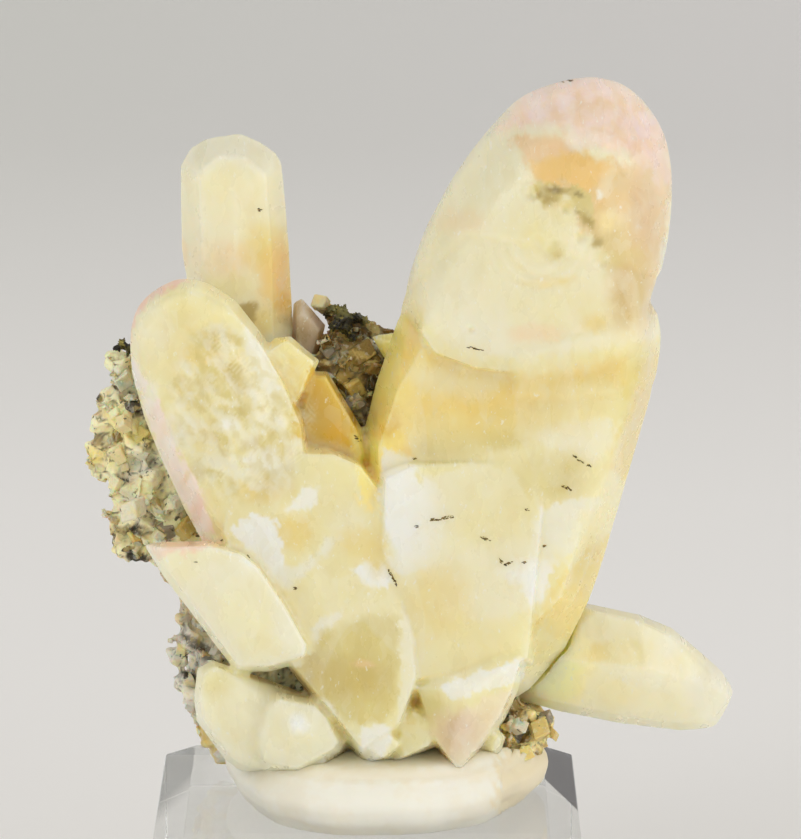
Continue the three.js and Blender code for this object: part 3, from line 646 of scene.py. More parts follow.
            (3.5, 10.6), (3.9, 14.2), (4, 21)]),
        ("snow", 0.8, 0.2, [(-0.9, 8.2), (1.6, 8.4), (3.4, 7.9), (2.5, 5.6), (1.6, 3.8), (0.3, 3.8),
            (-0.9, 5.2)]),
        ("straw", 0.8, 0.2, [(3.4, 8.3), (6.2, 8.8), (7.8, 6.7), (8.2, 6), (5.7, 5.2), (3.4, 4.2),
            (1.9, 3.8)]),
        # pink skins
        ("rose", 0.95, 0.35, [(-28.9, 53.9), (-28.9, 56.2), (-27.5, 59), (-25.2, 61.4), (-21.2, 62.1),
            (-21.2, 60.4), (-23.3, 60), (-25.2, 58.6), (-26.8, 57.2), (-27.3, 55.3), (-27.8, 53)]),
        ("skin", 1, 0.3, [(-27.8, 52), (-27.1, 50.2), (-25.7, 48.3), (-26.1, 47.6), (-27.3, 48.3),
            (-28, 50.7)]),
        ("skin", 1, 0.25, [(-26.5, 47.2), (-24.7, 46.5), (-23.3, 43.4), (-22.2, 40.9), (-21, 38.1),
            (-19.1, 34.6), (-18, 30.6), (-20.1, 30.4), (-21, 32.9), (-22.9, 36.7), (-24.7, 41.1),
            (-25.7, 44.6)]),
        ("pearl", 0.7, (-24, 42.3), (0.9, 3.0), -20),
        ("snow", 0.55, (-25.6, 47), (0.9, 2.1), -20),
        ("snow", 0.55, (-23.2, 41.3), (0.9, 2.6), -25),
        ("rose", 0.45, (-20.1, 33.7), (0.9, 2.4), -25),
        ("tan", 0.6, (-21.1, 38), (0.4, 1.4), -25),
        # chip and orange crystal
        ("yellow", 0.9, 0.3, [(-11.9, 53.2), (-10.5, 54.3), (-9, 54.3), (-6.6, 51.8), (-7, 50.2),
            (-7.8, 46.9), (-9.6, 47.9), (-11.2, 50.4)]),
        ("straw", 0.6, (-10.5, 50.2), (1.4, 1.6), 0),
        ("amber", 1, 0.25, [(-6.9, 50.4), (-5, 50.4), (-0.6, 43.7), (-0.2, 39.5), (-2.6, 40.3),
            (-5.8, 41.4), (-8.9, 42.3), (-8.7, 45.5)]),
        ("deepGold", 0.9, (-2.8, 42.3), (2.6, 1.6), -20),
        # butter along the crease at the big crystal's left edge: its golden colour, painted brighter against
        # the crease's shade
        ("butter", 0.9, 0.5, [(-2, 42.5), (0.4, 43.7), (1.1, 38.5), (0.4, 33.7), (-0.8, 34.9)]),
        ("butter", 0.7, 0.6, [(3.9, 58.5), (5.1, 54.4), (2.7, 44.4), (0.1, 42), (-1.3, 43)]),
        # lower left
        ("cream", 1, 0.15, [(-29.1, 30.8), (-17.9, 30.8), (-13.7, 29.1), (-9.7, 23.6), (-6.8, 17.5),
            (-7.2, 16), (-9.6, 14.5), (-16.2, 14.3), (-23.2, 20.8)]),
        ("straw", 0.2, (-12.9, 22.7), (3.3, 3.1), 0),
        ("olive", 0.25, (-22.3, 55.6), (3.3, 3.5), 0),
        # snow dot: a painted highlight on the leaning crystal
        ("snow", 0.9, (-16.4, 43.7), (1.2, 0.6), 0),
        ("yellow", 0.3, (-15.9, 50), (3.1, 3.5), 0),
        ("ivory", 0.35, (-17.9, 23.1), (4.7, 5.9), 30),
        ("ivory", 0.5, (-17.3, 38.5), (2.6, 2.4), 0),
        ("cream", 0.3, (-9.1, 50.9), (2.4, 2.4), 0),
        ("deepOlive", 0.25, (-5.3, 45.5), (1.7, 2.8), 0),
        ("cream", 0.4, (13.3, 13.1), (4.0, 1.4), 15),
        ("deepOlive", 0.6, 0.2, [(-16.6, 50.9), (-14.6, 50.9), (-15, 49.1), (-14.3, 47.2),
            (-16.4, 47.2)]),
        ("deepOlive", 0.6, 0.2, [(-15, 42), (-12.4, 42.5), (-13.3, 40.8), (-14.8, 40.6)]),
        ("sage", 0.4, (-14.4, 20.8), (2.6, 5.3), 30),
        ("ivory", 0.6, (-9.9, 20.3), (1.3, 3.5), 20),
        ("ivory", 0.5, (-14.9, 27.5), (2.6, 1.3), 20),
        ("rose", 0.85, 0.5, [(-26.7, 29.7), (-25.1, 30.6), (-19.7, 30.5), (-17.5, 29.7), (-19.7, 29.1),
            (-22.5, 28.6), (-24.7, 28.1)]),
        ("cream", 1, 0.3, [(-22.7, 17.2), (-15.9, 16.6), (-12.4, 13.7), (-4.4, 11.1), (-2, 6),
            (-7.9, 0.7), (-15.6, 0.7), (-23.2, 9)]),
        ("cream", 1, 0.2, [(-12, 12), (-11.1, 12.5), (-5.2, 11), (-2.6, 7.4), (-1.8, 6), (-5.4, 4.2),
            (-8.4, 4), (-12, 6.5)]),
        # snow dot: a painted highlight on the lower crystal
        ("snow", 1, (-8.1, 8.6), (1.3, 1.3), 0),
        ("olive", 0.4, (-18.1, 13.4), (2.6, 2.2), 0),
        ("moss", 0.8, 0.3, [(-5.3, 4), (-2.4, 5.5), (-1.3, 5.1), (-4.4, 3.3)]),
    ],
    "column": [
        ("cream", 0.95, 1, [(-25, 80.9), (-6.1, 80.9), (-6.1, 50.9), (-25, 50.9)]),
        ("ash", 0.5, (-16.9, 75.4), (6.6, 2.8), 0),
        ("ivory", 0.4, (-10.3, 71.1), (1.0, 3.5), 0),
        ("straw", 0.5, (-16.9, 72.8), (2.8, 2.3), 0),
        ("peach", 0.45, (-16.9, 63.2), (4.2, 2.8), 0),
        ("straw", 0.7, (-16.4, 60.2), (2.9, 1.6), 0),
        ("yellow", 0.75, (-11.7, 64.5), (2.9, 3.3), 0),
        ("orange", 0.95, (-9.5, 60.7), (3.3, 4.7), 0),
        ("orange", 0.5, (-10.7, 61.8), (1.9, 3.5), 0),
        ("deepGold", 0.35, (-9.5, 58.3), (1.2, 1.6), 0),
        ("peach", 0.6, (-21.6, 63.3), (0.5, 2.8), 0),
        ("yellow", 0.7, (-12.4, 55.9), (2.1, 1.9), 0),
        ("cream", 0.6, (-18.6, 58.1), (2.3, 1.0), 20),
        ("moss", 0.9, 0.4, [(-14.8, 58.1), (-12.8, 58.5), (-12.8, 57.4), (-13.6, 55.2), (-14.9, 55.5)]),
        ("moss", 0.5, (-9.3, 55.9), (1.2, 0.7), -30),
    ],
    "side": [
        ("cream", 0.95, 1, [(15.7, 25.5), (33.4, 26.7), (47, 16), (46.4, 4.2), (32.2, 5.4), (15.7, 9)]),
        ("sand", 0.8, (23.2, 18.1), (3.0, 2.1), 0),
        ("sand", 0.8, 0.7, [(18.7, 15.5), (22.3, 16), (26.2, 15.3), (25.9, 13), (24.7, 11.1),
            (22.8, 10.8), (19.5, 12.3), (18.1, 12.6)]),
        ("yellow", 0.8, (27.4, 16.8), (2.3, 1.3), 0),
        ("straw", 0.8, (30.7, 16.8), (3.4, 2.1), 0),
        ("peach", 0.8, (19.8, 11.5), (2.4, 0.8), 15),
        ("straw", 0.6, (29.2, 12.1), (2.8, 2.4), 0),
        ("ivory", 0.8, (40.2, 12.1), (3.8, 4.1), 0),
        # painted light at the side crystal's root, where the big crystal shades it
        ("glow", 0.9, (21.6, 17.2), (5.3, 7.1), 0),
        ("ash", 0.35, (40.7, 12.5), (3.1, 3.5), 0),
        ("ivory", 0.7, (32.6, 13.8), (4.9, 1.1), -15),
        ("ivory", 0.6, (36, 18.1), (2.6, 1.5), 35),
        ("cream", 0.6, (34.5, 10), (3.8, 1.3), 0),
    ],
    "grey": [
        ("greige", 0.9, 1, [(-10.3, 59.7), (-3.2, 58.5), (-3.8, 52.6), (-6.7, 49.7), (-10.9, 53.8)]),
        ("pearl", 0.35, (-7.6, 57.1), (0.9, 0.9), 0),
        ("shade", 0.35, (-7.6, 54.3), (1.1, 1.2), 0),
    ],
}

# drawn outlines of what growth has rounded, each with how much of its edges melts
rounded = [
    (1.0, [(2, 57), (8, 72), (15, 82), (20, 87), (34, 87), (38, 76), (38, 60),
           (31, 62), (22, 64), (12, 66)]),
    (0.3, [(2, 57), (12, 68), (22, 66), (38, 62), (38, 58), (33.4, 59.6), (32.2, 55),
           (28, 53), (20, 51.8), (12.6, 53), (8, 54.6), (6, 57)]),
    (0.9, [(17, 47), (17, 52.6), (30, 56), (38, 60), (38, 50), (30, 47)]),
    (0.25, [(24, 37), (28, 53), (32, 55), (38, 56), (35, 45), (29, 28), (24, 18), (23, 20), (26, 30)]),
    (0.45, [(-30, 48), (-28, 61), (-23, 65), (-17, 62), (-15, 58), (-20, 55), (-25, 50)]),
    (0.12, [(-24, 57), (-20, 58), (-14, 55), (-10, 46), (-9, 38), (-12, 33),
            (-17, 34), (-21, 41), (-25, 50)]),
    (0.1, [(-24, 70), (-24, 80), (-8, 80), (-8, 70), (-16, 75)]),
    (0.3, [(36, 22), (46, 22), (46, 5), (38, 5)]),
    (0.3, [(-15.8, 13), (-10.6, 13.5), (-10.8, 3), (-15.6, 3)]),
    (0.12, [(-22, 28), (-16, 27.6), (-10, 20), (-12, 16.4), (-15, 17), (-20, 25)]),
]
crownOutline = [(12, 75), (15, 82), (20, 87), (34, 87), (38, 76), (37, 60),
                (32, 64), (30, 70), (24, 76), (18, 77)]
pinkOutline = [(15, 78), (20, 85), (27, 86.5), (33, 83), (36.5, 77), (36.5, 66), (33, 72), (28, 76), (21, 79)]
brokenOutline = [(-21, 55), (-15, 56), (-9, 52), (-6, 45), (-9, 36), (-17, 34), (-22, 40), (-24, 47)]

# (across, up, radius, depth) of hollows on the cap
capPits = [
    (19.6, 71.2, 1.3, 0.5), (21.6, 71.9, 0.9, 0.35), (23.5, 69.4, 0.9, 0.45), (25.2, 66.0, 1.0, 0.4),
    (27.6, 63.4, 1.3, 0.35), (20.1, 65.3, 1.2, 0.2), (12.2, 55.0, 0.6, 0.3),
]


def roundOff(piece):
    # melts the edges inside the drawn outlines, right through the piece
    across, up = drawnPlaces(coordsOf(piece))
    weight = np.max([share * smoothStep(depthInside(across, up, corners), -0.6, 1.2)
                     for share, corners in rounded], axis=0)
    melting = np.where(weight > 0.02, weight, 0)
    applyWeighted(piece, "SMOOTH", melting, factor=0.5, iterations=calcite["melting"])
    moveAlongNormals(piece, weight * calcite["swell"])


def growthRelief(piece):
    points = coordsOf(piece)
    across, up = drawnPlaces(points)
    rise = sum(height * noiseAt(points, width, seed) for height, width, seed in calcite["waves"]) - 0.05
    facing = smoothStep(-normalsOf(piece)[:, 1], 0.3, 0.7)
    crown = facing * smoothStep(depthInside(across, up, crownOutline), -1, 1)
    rise -= crown * calcite["crownEtch"] * smoothStep(noiseAt(points, 1.6, 11), 0.05, 0.35)
    broken = smoothStep(depthInside(across, up, brokenOutline), -1.5, 1.5)
    steps = spreadOut(piece, levelsAt(points, 2.4, 21) + 0.5 * levelsAt(points, 1.3, 22), 1)
    rise += facing * (calcite["steps"] + broken * calcite["hackle"]) * (steps - 0.8)
    for x, y, radius, deep in capPits:
        rise -= facing * deep * (1 - smoothStep(np.hypot(across - x, up - y), 0.2 * radius, radius))
    # shell-like arcs round a point on the cap
    arcs = calcite["arcs"]
    x, y = arcs["middle"]
    reach = np.hypot(across - x, up - y)
    where = smoothStep(reach, 1.5, 2.5) * (1 - smoothStep(reach, 5, 7)) * smoothStep(y - up, -1, 1)
    rise += facing * where * arcs["height"] * np.sin(reach * math.tau / arcs["apart"])
    moveAlongNormals(piece, rise)
    keepInside(piece)


def paintCrystals(piece, zones):
    points, normals = coordsOf(piece), normalsOf(piece)
    tint, cover = mixZones(points, zones, 0.25)
    mottle(points, tint, brokenOutline, "ivory", "olive", 0.42)
    mottle(points, tint, pinkOutline, "skin", "peach", 0.3)
    # painted shade on the tops, painted light on the steep sides
    steep = 1 - smoothStep(-spreadOut(piece, normals[:, 1], 6), 0.1, 0.6)
    light = 1 + calcite["paintedSideLight"] * steep - calcite["paintedTopShade"] * normals[:, 2]
    tint = np.minimum(tint * light[:, None], 0.96)
    # painted highlight along the edges, and painted light where crystals meet and the creases are in shade
    sharp = sharpnessOf(piece)
    creaseLightMask = calcite["creaseLight"] * smoothStep(-spreadOut(piece, sharp, 7), 0.005, 0.02)
    sharp = calcite["edgeHighlight"] * smoothStep(sharp, 0.01, 0.05) * smoothStep(-normals[:, 1], 0.15, 0.5)
    tint += (tintOf("snow") - tint) * sharp[:, None]
    tint += (tintOf("creaseLightTint") - tint) * creaseLightMask[:, None]
    writeTint(piece.data, tint, np.maximum(coverFront(piece, cover), sharp + creaseLightMask))


def calciteMaterial():
    material, tree, surface = newMaterial("milkyCalcite")
    coords = objectCoords(tree)
    shade = mixColour(tree, noiseMask(tree, coords, 7, 0.38, 0.62, 3, 0.5, 0.6),
                      colour("straw"), colour("cream"))
    shade = layOver(tree, shade, noiseMask(tree, coords, 12, 0.5, 0.68, 3), 0.8, "yellow")
    shade = layOver(tree, shade, noiseMask(tree, coords, 15, 0.58, 0.7, 3), 0.6, "pink")
    shade = layOver(tree, shade, noiseMask(tree, coords, 5, 0.56, 0.66, 5, 0.6, 0.8), 0.7, "ivory")
    shade = overPaint(tree, shade)
    # the splits inside: flat-sided cells in two sizes, each a little paler or deeper
    bent = turnedCoords(tree, coords, (0.6, 0.5, 0.3), (1, 0.1, 0.6))
    heights = []
    for wide in (3.2, 1.3):
        cells = addNode(tree, "TexVoronoi", {"Vector": bent, "Scale": 1 / (wide * mm)}, distance="CHEBYCHEV")
        levels = addNode(tree, "SeparateColor", {0: cells.outputs["Color"]})
        patchy = noiseMask(tree, bent, wide * 1.6, 0.42, 0.6, 3)
        paler = maths(tree, "MULTIPLY", patchy, rangeOf(tree, levels.outputs["Red"], 0.5, 1.0))
        deeper = maths(tree, "MULTIPLY", rangeOf(tree, levels.outputs["Green"], 0.6, 1.0), 0.16)
        shade = layOver(tree, shade, paler, 0.2, "ivory")
        shade = mixColour(tree, deeper, shade, (0.86, 0.8, 0.62, 1), "MULTIPLY")
        heights.append(levels.outputs["Blue"])
    # veils: thin sheets, crisp along one side and fading on the other
    sheet = fineNoise(tree, turnedCoords(tree, coords, (0.2, 0.5, 0.9), (1, 0.3, 0.5)), 110, 2)
    veils = maths(tree, "MULTIPLY", rangeOf(tree, sheet, 0.55, 0.57), rangeOf(tree, sheet, 0.7, 0.56))
    shade = layOver(tree, shade, veils, 0.15, "snow")
    shade = layOver(tree, shade, noiseMask(tree, bent, 0.45, 0.66, 0.72, 2), 0.5, "snow")
    setInputs(tree, surface, {
        "Base Color": shade, "IOR": 1.5,
        "Roughness": rangeOf(tree, noiseMask(tree, bent, 3), 0, 1, 0.2, 0.42),
        "Subsurface Weight": 1, "Subsurface Radius": (1.0, 0.85, 0.6),
        "Subsurface Scale": calcite["depth"] * mm,
    })
    height = maths(tree, "ADD", maths(tree, "MULTIPLY", heights[0], 0.6), fineNoise(tree, bent, 900, 4))
    height = maths(tree, "ADD", maths(tree, "MULTIPLY", heights[1], 0.3), height)
    addBump(tree, surface, height, 0.06, 0.3)
    return material


def makeCalcite():
    material = calciteMaterial()
    pieces = []
    for node, name, slot in (
        ("calcite_crystals", "grown", "calcite"), ("column_crystal", "column", "column_calcite"),
        ("side_crystal", "side", "side_calcite"), ("grey_crystal", "grey", "grey_calcite"),
    ):
        piece = copyNode(node, name + "Calcite")
        refine(piece, calcite["voxel"]["grown" if name == "grown" else "others"], 1)
        isPlain = name == "grey"
        if not isPlain:
            applyModifier(piece, "SMOOTH", factor=0.5, iterations=calcite["rounding"])
            roundOff(piece)
        growthRelief(piece)
        if name == "grown":
            thinBehind(piece, calcite["triangles"])
        if isPlain:
            paint(piece, calciteZones[name])
        else:
            paintCrystals(piece, calciteZones[name])
        settle(piece, material, slot, node)
        pieces.append(piece)
    return pieces


calcitePieces = makeCalcite()


# small things are spread over, or set down on, the large ones

def treeOf(*pieces):
    points, faces = [], []
    for piece in pieces:
        start = len(points)
        points += [Vector(p) for p in coordsOf(piece)]
        faces += [[start + i for i in face.vertices] for face in piece.data.polygons]
    return BVHTree.FromPolygons(points, faces)


def isWithin(tree, point):
    place, normal, _, _ = tree.find_nearest(Vector(point))
    return (Vector(point) - place).dot(normal) < 0


def seenAt(tree, across, up):
    # the first surface behind a drawn place, and its normal
    eye = view["aim"] - forward * view["distance"]
    target = view["aim"] + Vector((across - view["aim"].x, 0, 0)) + lift * (up - view["drawnUp"])
    place, normal, _, _ = tree.ray_cast(eye, (target - eye).normalized())
    return place, normal


def spreadOver(piece, count, draw):
    # even random places on a piece, with the faces' normals
    mesh = piece.data
    mesh.calc_loop_triangles()
    corners = np.zeros(len(mesh.loop_triangles) * 3, int)
    mesh.loop_triangles.foreach_get("vertices", corners)
    corners = coordsOf(piece)[corners.reshape(-1, 3)]
    cross = np.cross(corners[:, 1] - corners[:, 0], corners[:, 2] - corners[:, 0])
    area = np.linalg.norm(cross, axis=1)
    chosen = draw.choice(len(area), count, p=area / area.sum())
    u, v = draw.random((2, count, 1))
    u, v = np.where(u + v > 1, 1 - u, u), np.where(u + v > 1, 1 - v, v)
    corners = corners[chosen]
    points = corners[:, 0] + (corners[:, 1] - corners[:, 0]) * u + (corners[:, 2] - corners[:, 0]) * v
    return points, cross[chosen] / area[chosen, None]


def copiesOf(model, name, places):
    # one mesh of many copies, each at its matrix and with its colour
    bpy.ops.object.select_all(action="DESELECT")
    for matrix, tint in places:
        mesh = model.data.copy()
        mesh.transform(matrix)
        writeTint(mesh, np.tile(tint, (len(mesh.vertices), 1)), np.ones(len(mesh.vertices)))
        copy = bpy.data.objects.new(name, mesh)
        bpy.context.scene.collection.objects.link(copy)
        copy.select_set(True)
        bpy.context.view_layer.objects.active = copy
    bpy.ops.object.join()
    bpy.data.objects.remove(model)
    bpy.context.object.name = name
    return bpy.context.object


def grainMatrix(place, normal, size, draw, tilt=0.6, uneven=0.25):
    # stands on the surface, turned, tilted and stretched at random
    turn = Vector(normal).to_track_quat("Z", "Y").to_matrix().to_4x4()
    spin = Matrix.Rotation(draw.uniform(0, math.tau), 4, "Z") @ Matrix.Rotation(draw.normal() * tilt, 4, "X")
    x, y, z = size * mm * (1 + draw.uniform(-uneven, uneven, 3))
    scale = Matrix.Diagonal((x, y, z, 1))
    return Matrix.Translation(Vector(place) * mm) @ turn @ spin @ scale


def startModel(addPrimitive, **values):
    # the new primitive is selected all over, in edit mode
    bpy.ops.object.select_all(action="DESELECT")
    addPrimitive(**values)
    bpy.ops.object.mode_set(mode="EDIT")
    bpy.ops.mesh.select_all(action="SELECT")


def endModel():
    bpy.ops.object.mode_set(mode="OBJECT")
    return bpy.context.object


def rhombModel():
    # a cube on its corner, pressed down a little, is a rhomb
    startModel(bpy.ops.mesh.primitive_cube_add, size=1)
    bpy.ops.transform.rotate(value=math.radians(45), orient_axis="Z", center_override=(0, 0, 0))
    bpy.ops.transform.rotate(value=math.atan(math.sqrt(2)), orient_axis="X", center_override=(0, 0, 0))
    bpy.ops.transform.resize(value=(1, 1, 0.82), center_override=(0, 0, 0))
    bpy.ops.transform.rotate(value=math.radians(50), orient_axis="X", center_override=(0, 0, 0))
    bpy.ops.mesh.bevel(offset=0.07, segments=1)
    return endModel()


def wedgeModel():
    # a blunt four-faced crystal
    startModel(bpy.ops.mesh.primitive_cone_add, vertices=3, radius1=0.6, depth=0.95)
    bpy.ops.mesh.bevel(offset=0.1, segments=1)
    return endModel()


# matrix: granular rock with grown rhombs, sandy and ochre patches and black grains

matrix = {
    "voxel": 0.32,  # mm
    "lumps": (0.5, 3.4),  # mm, height and width
    "grains": (0.35, 2.7),
    "fineGrains": (0.1, 0.9),
    "rhombs": 900,
    "size": (0.4, 1.3),  # mm, small and large rhombs
    "sunk": 0.2,  # share of a rhomb's size
    "largeSunk": 0.22,
}

# the rhombs that stand out, each (across, up, size, colour)
largeRhombs = [
    (-27.4, 34.3, 2.5, "stone"), (-22.3, 34.7, 2.0, "stone"), (-24.8, 34.6, 1.0, "sand"),
    (-21.7, 31.6, 2.0, "ochre"), (-23.6, 31.4, 1.8, "slate"), (-29.4, 40.5, 1.9, "sand"),
    (-26.5, 42.8, 2.2, "butter"), (-28.6, 44.0, 1.9, "sand"), (-27.1, 29.4, 1.4, "fog"),
    (-29.4, 30.2, 1.5, "sand"), (-28.9, 48.8, 1.9, "stone"), (-30.2, 45.8, 1.3, "sage"),
    (-4.4, 52.4, 2.0, "slate"), (-1.8, 48.3, 2.4, "ochre"), (-5.3, 58.2, 1.6, "sage"),
    (-1.1, 52.0, 2.6, "umber"), (-1.1, 46.1, 1.8, "slate"), (0.6, 50.2, 1.6, "umber"),
    (-5.0, 49.6, 1.3, "umber"), (17.7, 8.4, 1.6, "fog"), (20.4, 7.6, 2.6, "yellow"),
    (18.1, 4.8, 1.9, "butter"), (21.2, 9.4, 1.5, "slate"),
    (-21.0, 13.6, 1.6, "fog"), (-22.0, 17.4, 1.4, "sage"), (-20.6, 10.4, 1.5, "ash"),
]

matrixZones = [
    ("stone", 1, 1.5, [(-35, 55), (-17.3, 55), (-17.3, 26.7), (-35, 26.7)]),
    ("butter", 0.3, 1.5, [(-35, 55), (-17.3, 55), (-17.3, 26.7), (-35, 26.7)]),
    # a patch of painted light on the rock's upper left, against the shade between its grains
    ("glow", 0.6, (-29.1, 50), (1.7, 3.1), 0),
    ("sage", 0.9, (-30.1, 52.2), (1.7, 2.2), 0),
    ("stone", 0.9, (-28.9, 49), (2.6, 1.9), 0),
    ("soot", 0.8, (-29.5, 54.3), (0.4, 0.4), 0),
    ("soot", 0.9, (-28.7, 54), (0.5, 0.5), 0),
    ("sand", 1, 0.5, [(-30.8, 45.9), (-28.7, 46.4), (-26.5, 44.5), (-25.3, 43), (-25.8, 41.3),
        (-27.2, 41.3), (-29.2, 41.6), (-31.1, 42.5), (-31.3, 44.5)]),
    ("butter", 0.7, (-27.2, 42.8), (1.9, 1.2), 0),
    ("sand", 0.9, (-29.9, 40.1), (1.9, 1.7), 0),
    ("ochre", 0.6, (-31.8, 40.4), (1.2, 1.0), 0),
    ("soot", 1, 0.2, [(-28, 47.6), (-27.2, 47.5), (-27, 45.9), (-26.3, 44.2), (-27.2, 44.7),
        (-28, 45.9)]),
    ("soot", 1, 0.2, [(-32.8, 47.1), (-31.8, 47.5), (-31.6, 46.6), (-32.4, 46.4)]),
    ("umber", 0.7, 0.3, [(-32, 42.3), (-29.2, 42.2), (-29.6, 41.3), (-32.3, 41.6)]),
    ("moss", 0.6, (-31.8, 39.2), (1.0, 1.4), 0),
    ("butter", 0.8, (-32.5, 40.1), (1.2, 1.2), 0),
    ("sage", 0.8, (-31.8, 38), (1.7, 1.4), 0),
    ("ash", 0.8, (-26.3, 39.2), (2.2, 1.7), 0),
    ("slate", 0.55, (-28.4, 37.7), (1.4, 1.2), -20),
    ("fog", 0.9, 0.3, [(-29.2, 35.3), (-28.2, 36), (-25.5, 34.8), (-26.3, 32.7), (-27.5, 32.2),
        (-28.9, 33.6)]),
    ("sand", 0.6, (-24.8, 34.4), (0.7, 1.7), 0),
    ("fog", 0.7, (-22.4, 34.1), (1.4, 1.2), 0),
    ("soot", 1, 0.2, [(-29.5, 31.9), (-27.5, 32.1), (-26.1, 31.2), (-26.5, 30.6), (-28.7, 30.9)]),
    ("butter", 0.8, (-30.8, 30.3), (1.4, 1.2), 0),
    ("slate", 0.95, (-23.7, 31.1), (1.4, 1.1), 0),
    ("ochre", 0.7, (-21.3, 31.2), (1.7, 1.2), 0),
    ("moss", 0.8, (-29.6, 30.7), (1.4, 1.4), 0),
    ("soot", 1, 0.2, [(-28.8, 29.1), (-27.2, 28.9), (-25.7, 27.8), (-26.3, 25.7), (-28, 26.9)]),
    ("ash", 0.9, 0.8, [(-23.7, 23.2), (-21, 22.1), (-17.7, 17.5), (-19.7, 15.3), (-20.1, 9.6),
        (-23.7, 9.6)]),
    ("soot", 1, 0.2, [(-22.3, 14.7), (-20.7, 14.8), (-20, 13.5), (-20.5, 13.2), (-21.6, 14.3)]),
    ("soot", 0.6, (-19.5, 16.6), (0.5, 1.2), -20),
    ("sage", 0.7, (-22.5, 15.5), (1.0, 0.8), 0),
    ("fog", 0.8, (-21.5, 12.1), (1.0, 0.8), 0),
    ("soot", 0.6, (-22.6, 9.7), (0.9, 0.6), 0),
    ("ash", 0.8, (-10.9, 13), (2.8, 1.4), 0),
    ("soot", 1, (-13.5, 14), (0.5, 0.4), 0),
    ("bark", 0.95, 1.2, [(-8.5, 57.9), (3.3, 57.9), (3.3, 37.3), (-3.2, 42), (-8.5, 49.1)]),
    ("soot", 1, 0.15, [(-27.5, 47.7), (-26.7, 47.7), (-26.2, 46.1), (-25.7, 44.1), (-26.4, 43.9),
        (-27.1, 45.3)]),
    ("soot", 0.9, (-31.6, 47), (0.5, 0.6), 0),
    ("soot", 0.9, (-28.9, 37.2), (1.1, 0.6), -20),
    ("soot", 0.9, (-27.6, 31.4), (1.5, 0.6), -10),
    ("slate", 0.6, 0.4, [(-22.5, 22.9), (-20.9, 21.9), (-20.6, 20.2), (-22.1, 20.2)]),
    ("soot", 0.75, 0.2, [(-21.7, 19.4), (-19.7, 18.6), (-18.2, 17.8), (-17.8, 16.3), (-19.1, 15.6),
        (-20.2, 17.2), (-21.4, 17.5)]),
    ("snow", 0.8, (-20.1, 16.5), (0.7, 0.7), 0),
    ("soot", 1, 0.15, [(-22.8, 14.9), (-20.9, 15), (-20.2, 14.2), (-20.3, 13.3), (-21.6, 13.6)]),
    ("soot", 0.9, 0.15, [(-23.7, 10.4), (-21.4, 10.6), (-20.9, 9.7), (-22.3, 9)]),
    ("fog", 0.9, (-22.1, 12), (1.2, 1.1), 0),
    ("stone", 0.9, 0.3, [(-13.1, 15.1), (-7.7, 14.9), (-7.2, 11.3), (-10.3, 11.6)]),
    ("fog", 0.8, (-29.4, 48.9), (1.7, 2.4), 0),
    ("moss", 0.7, (-1.7, 51.6), (2.3, 2.0), 0),
    ("fog", 0.6, (-4, 52.3), (0.9, 0.9), 0),
    ("moss", 0.8, (-1.6, 48.4), (1.2, 1.8), 0),
    ("soot", 0.9, (-0.1, 47.9), (0.9, 0.6), 0),
    ("fog", 0.8, (1.4, 53.5), (0.9, 1.1), 0),
    ("ochre", 0.6, (-3.2, 49.3), (0.9, 0.9), 0),
    ("fog", 0.5, (-1, 45.8), (1.2, 1.1), 0),
    ("soot", 0.7, (0.8, 52.3), (0.8, 0.6), 0),
    ("umber", 0.9, 1, [(14.3, 11.9), (23.5, 11.9), (23.5, 4), (14.3, 4)]),
    ("sand", 1, 0.4, [(18.9, 10.9), (21.2, 10.7), (22.7, 7.9), (22, 5.8), (19.8, 5.3), (18.3, 4),
        (17, 5.5), (19.1, 6.4), (19.4, 8.5), (18.8, 10)]),
    ("butter", 0.7, (21.2, 7), (1.4, 1.2), 0),
    ("ochre", 0.45, (20.3, 7.9), (2.6, 2.4), 0),
    ("fog", 0.9, 0.3, [(16.7, 9.4), (18.6, 9.2), (18.5, 7.9), (16.7, 8.2)]),
    ("slate", 0.8, (22.9, 9.1), (0.8, 1.4), 0),
    ("butter", 0.9, 0.3, [(14.4, 7), (16.1, 8.5), (16.4, 6.8), (15, 5.5)]),
]


def matrixMaterial():
    material, tree, surface = newMaterial("stainedMatrix")
    coords = objectCoords(tree)
    shade = mixColour(tree, noiseMask(tree, coords, 6, 0.4, 0.6), colour("ochre"), colour("ash"))
    for name, strength, patches in (("fog", 0.9, (2.4, 0.5, 0.62, 6)), ("umber", 0.8, (4, 0.58, 0.66, 4))):
        shade = layOver(tree, shade, noiseMask(tree, coords, *patches), strength, name)
    shade = overPaint(tree, shade)
    for name, strength, patches in (
        ("slate", 0.15, (0.5, 0.52, 0.66, 3)), ("snow", 0.3, (0.7, 0.56, 0.64, 3)),
        ("butter", 0.35, (2.2, 0.54, 0.6, 4)), ("soot", 0.85, (1.3, 0.64, 0.68, 3, 0.6, 0.4)),
    ):
        shade = layOver(tree, shade, noiseMask(tree, coords, *patches), strength, name)
    setInputs(tree, surface, {
        "Base Color": shade, "Roughness": 0.55, "Subsurface Weight": 0.5, "Subsurface Scale": 0.8 * mm,
    })
    addBump(tree, surface, fineNoise(tree, coords, 1800, 6), 0.6, 0.3)
    return material


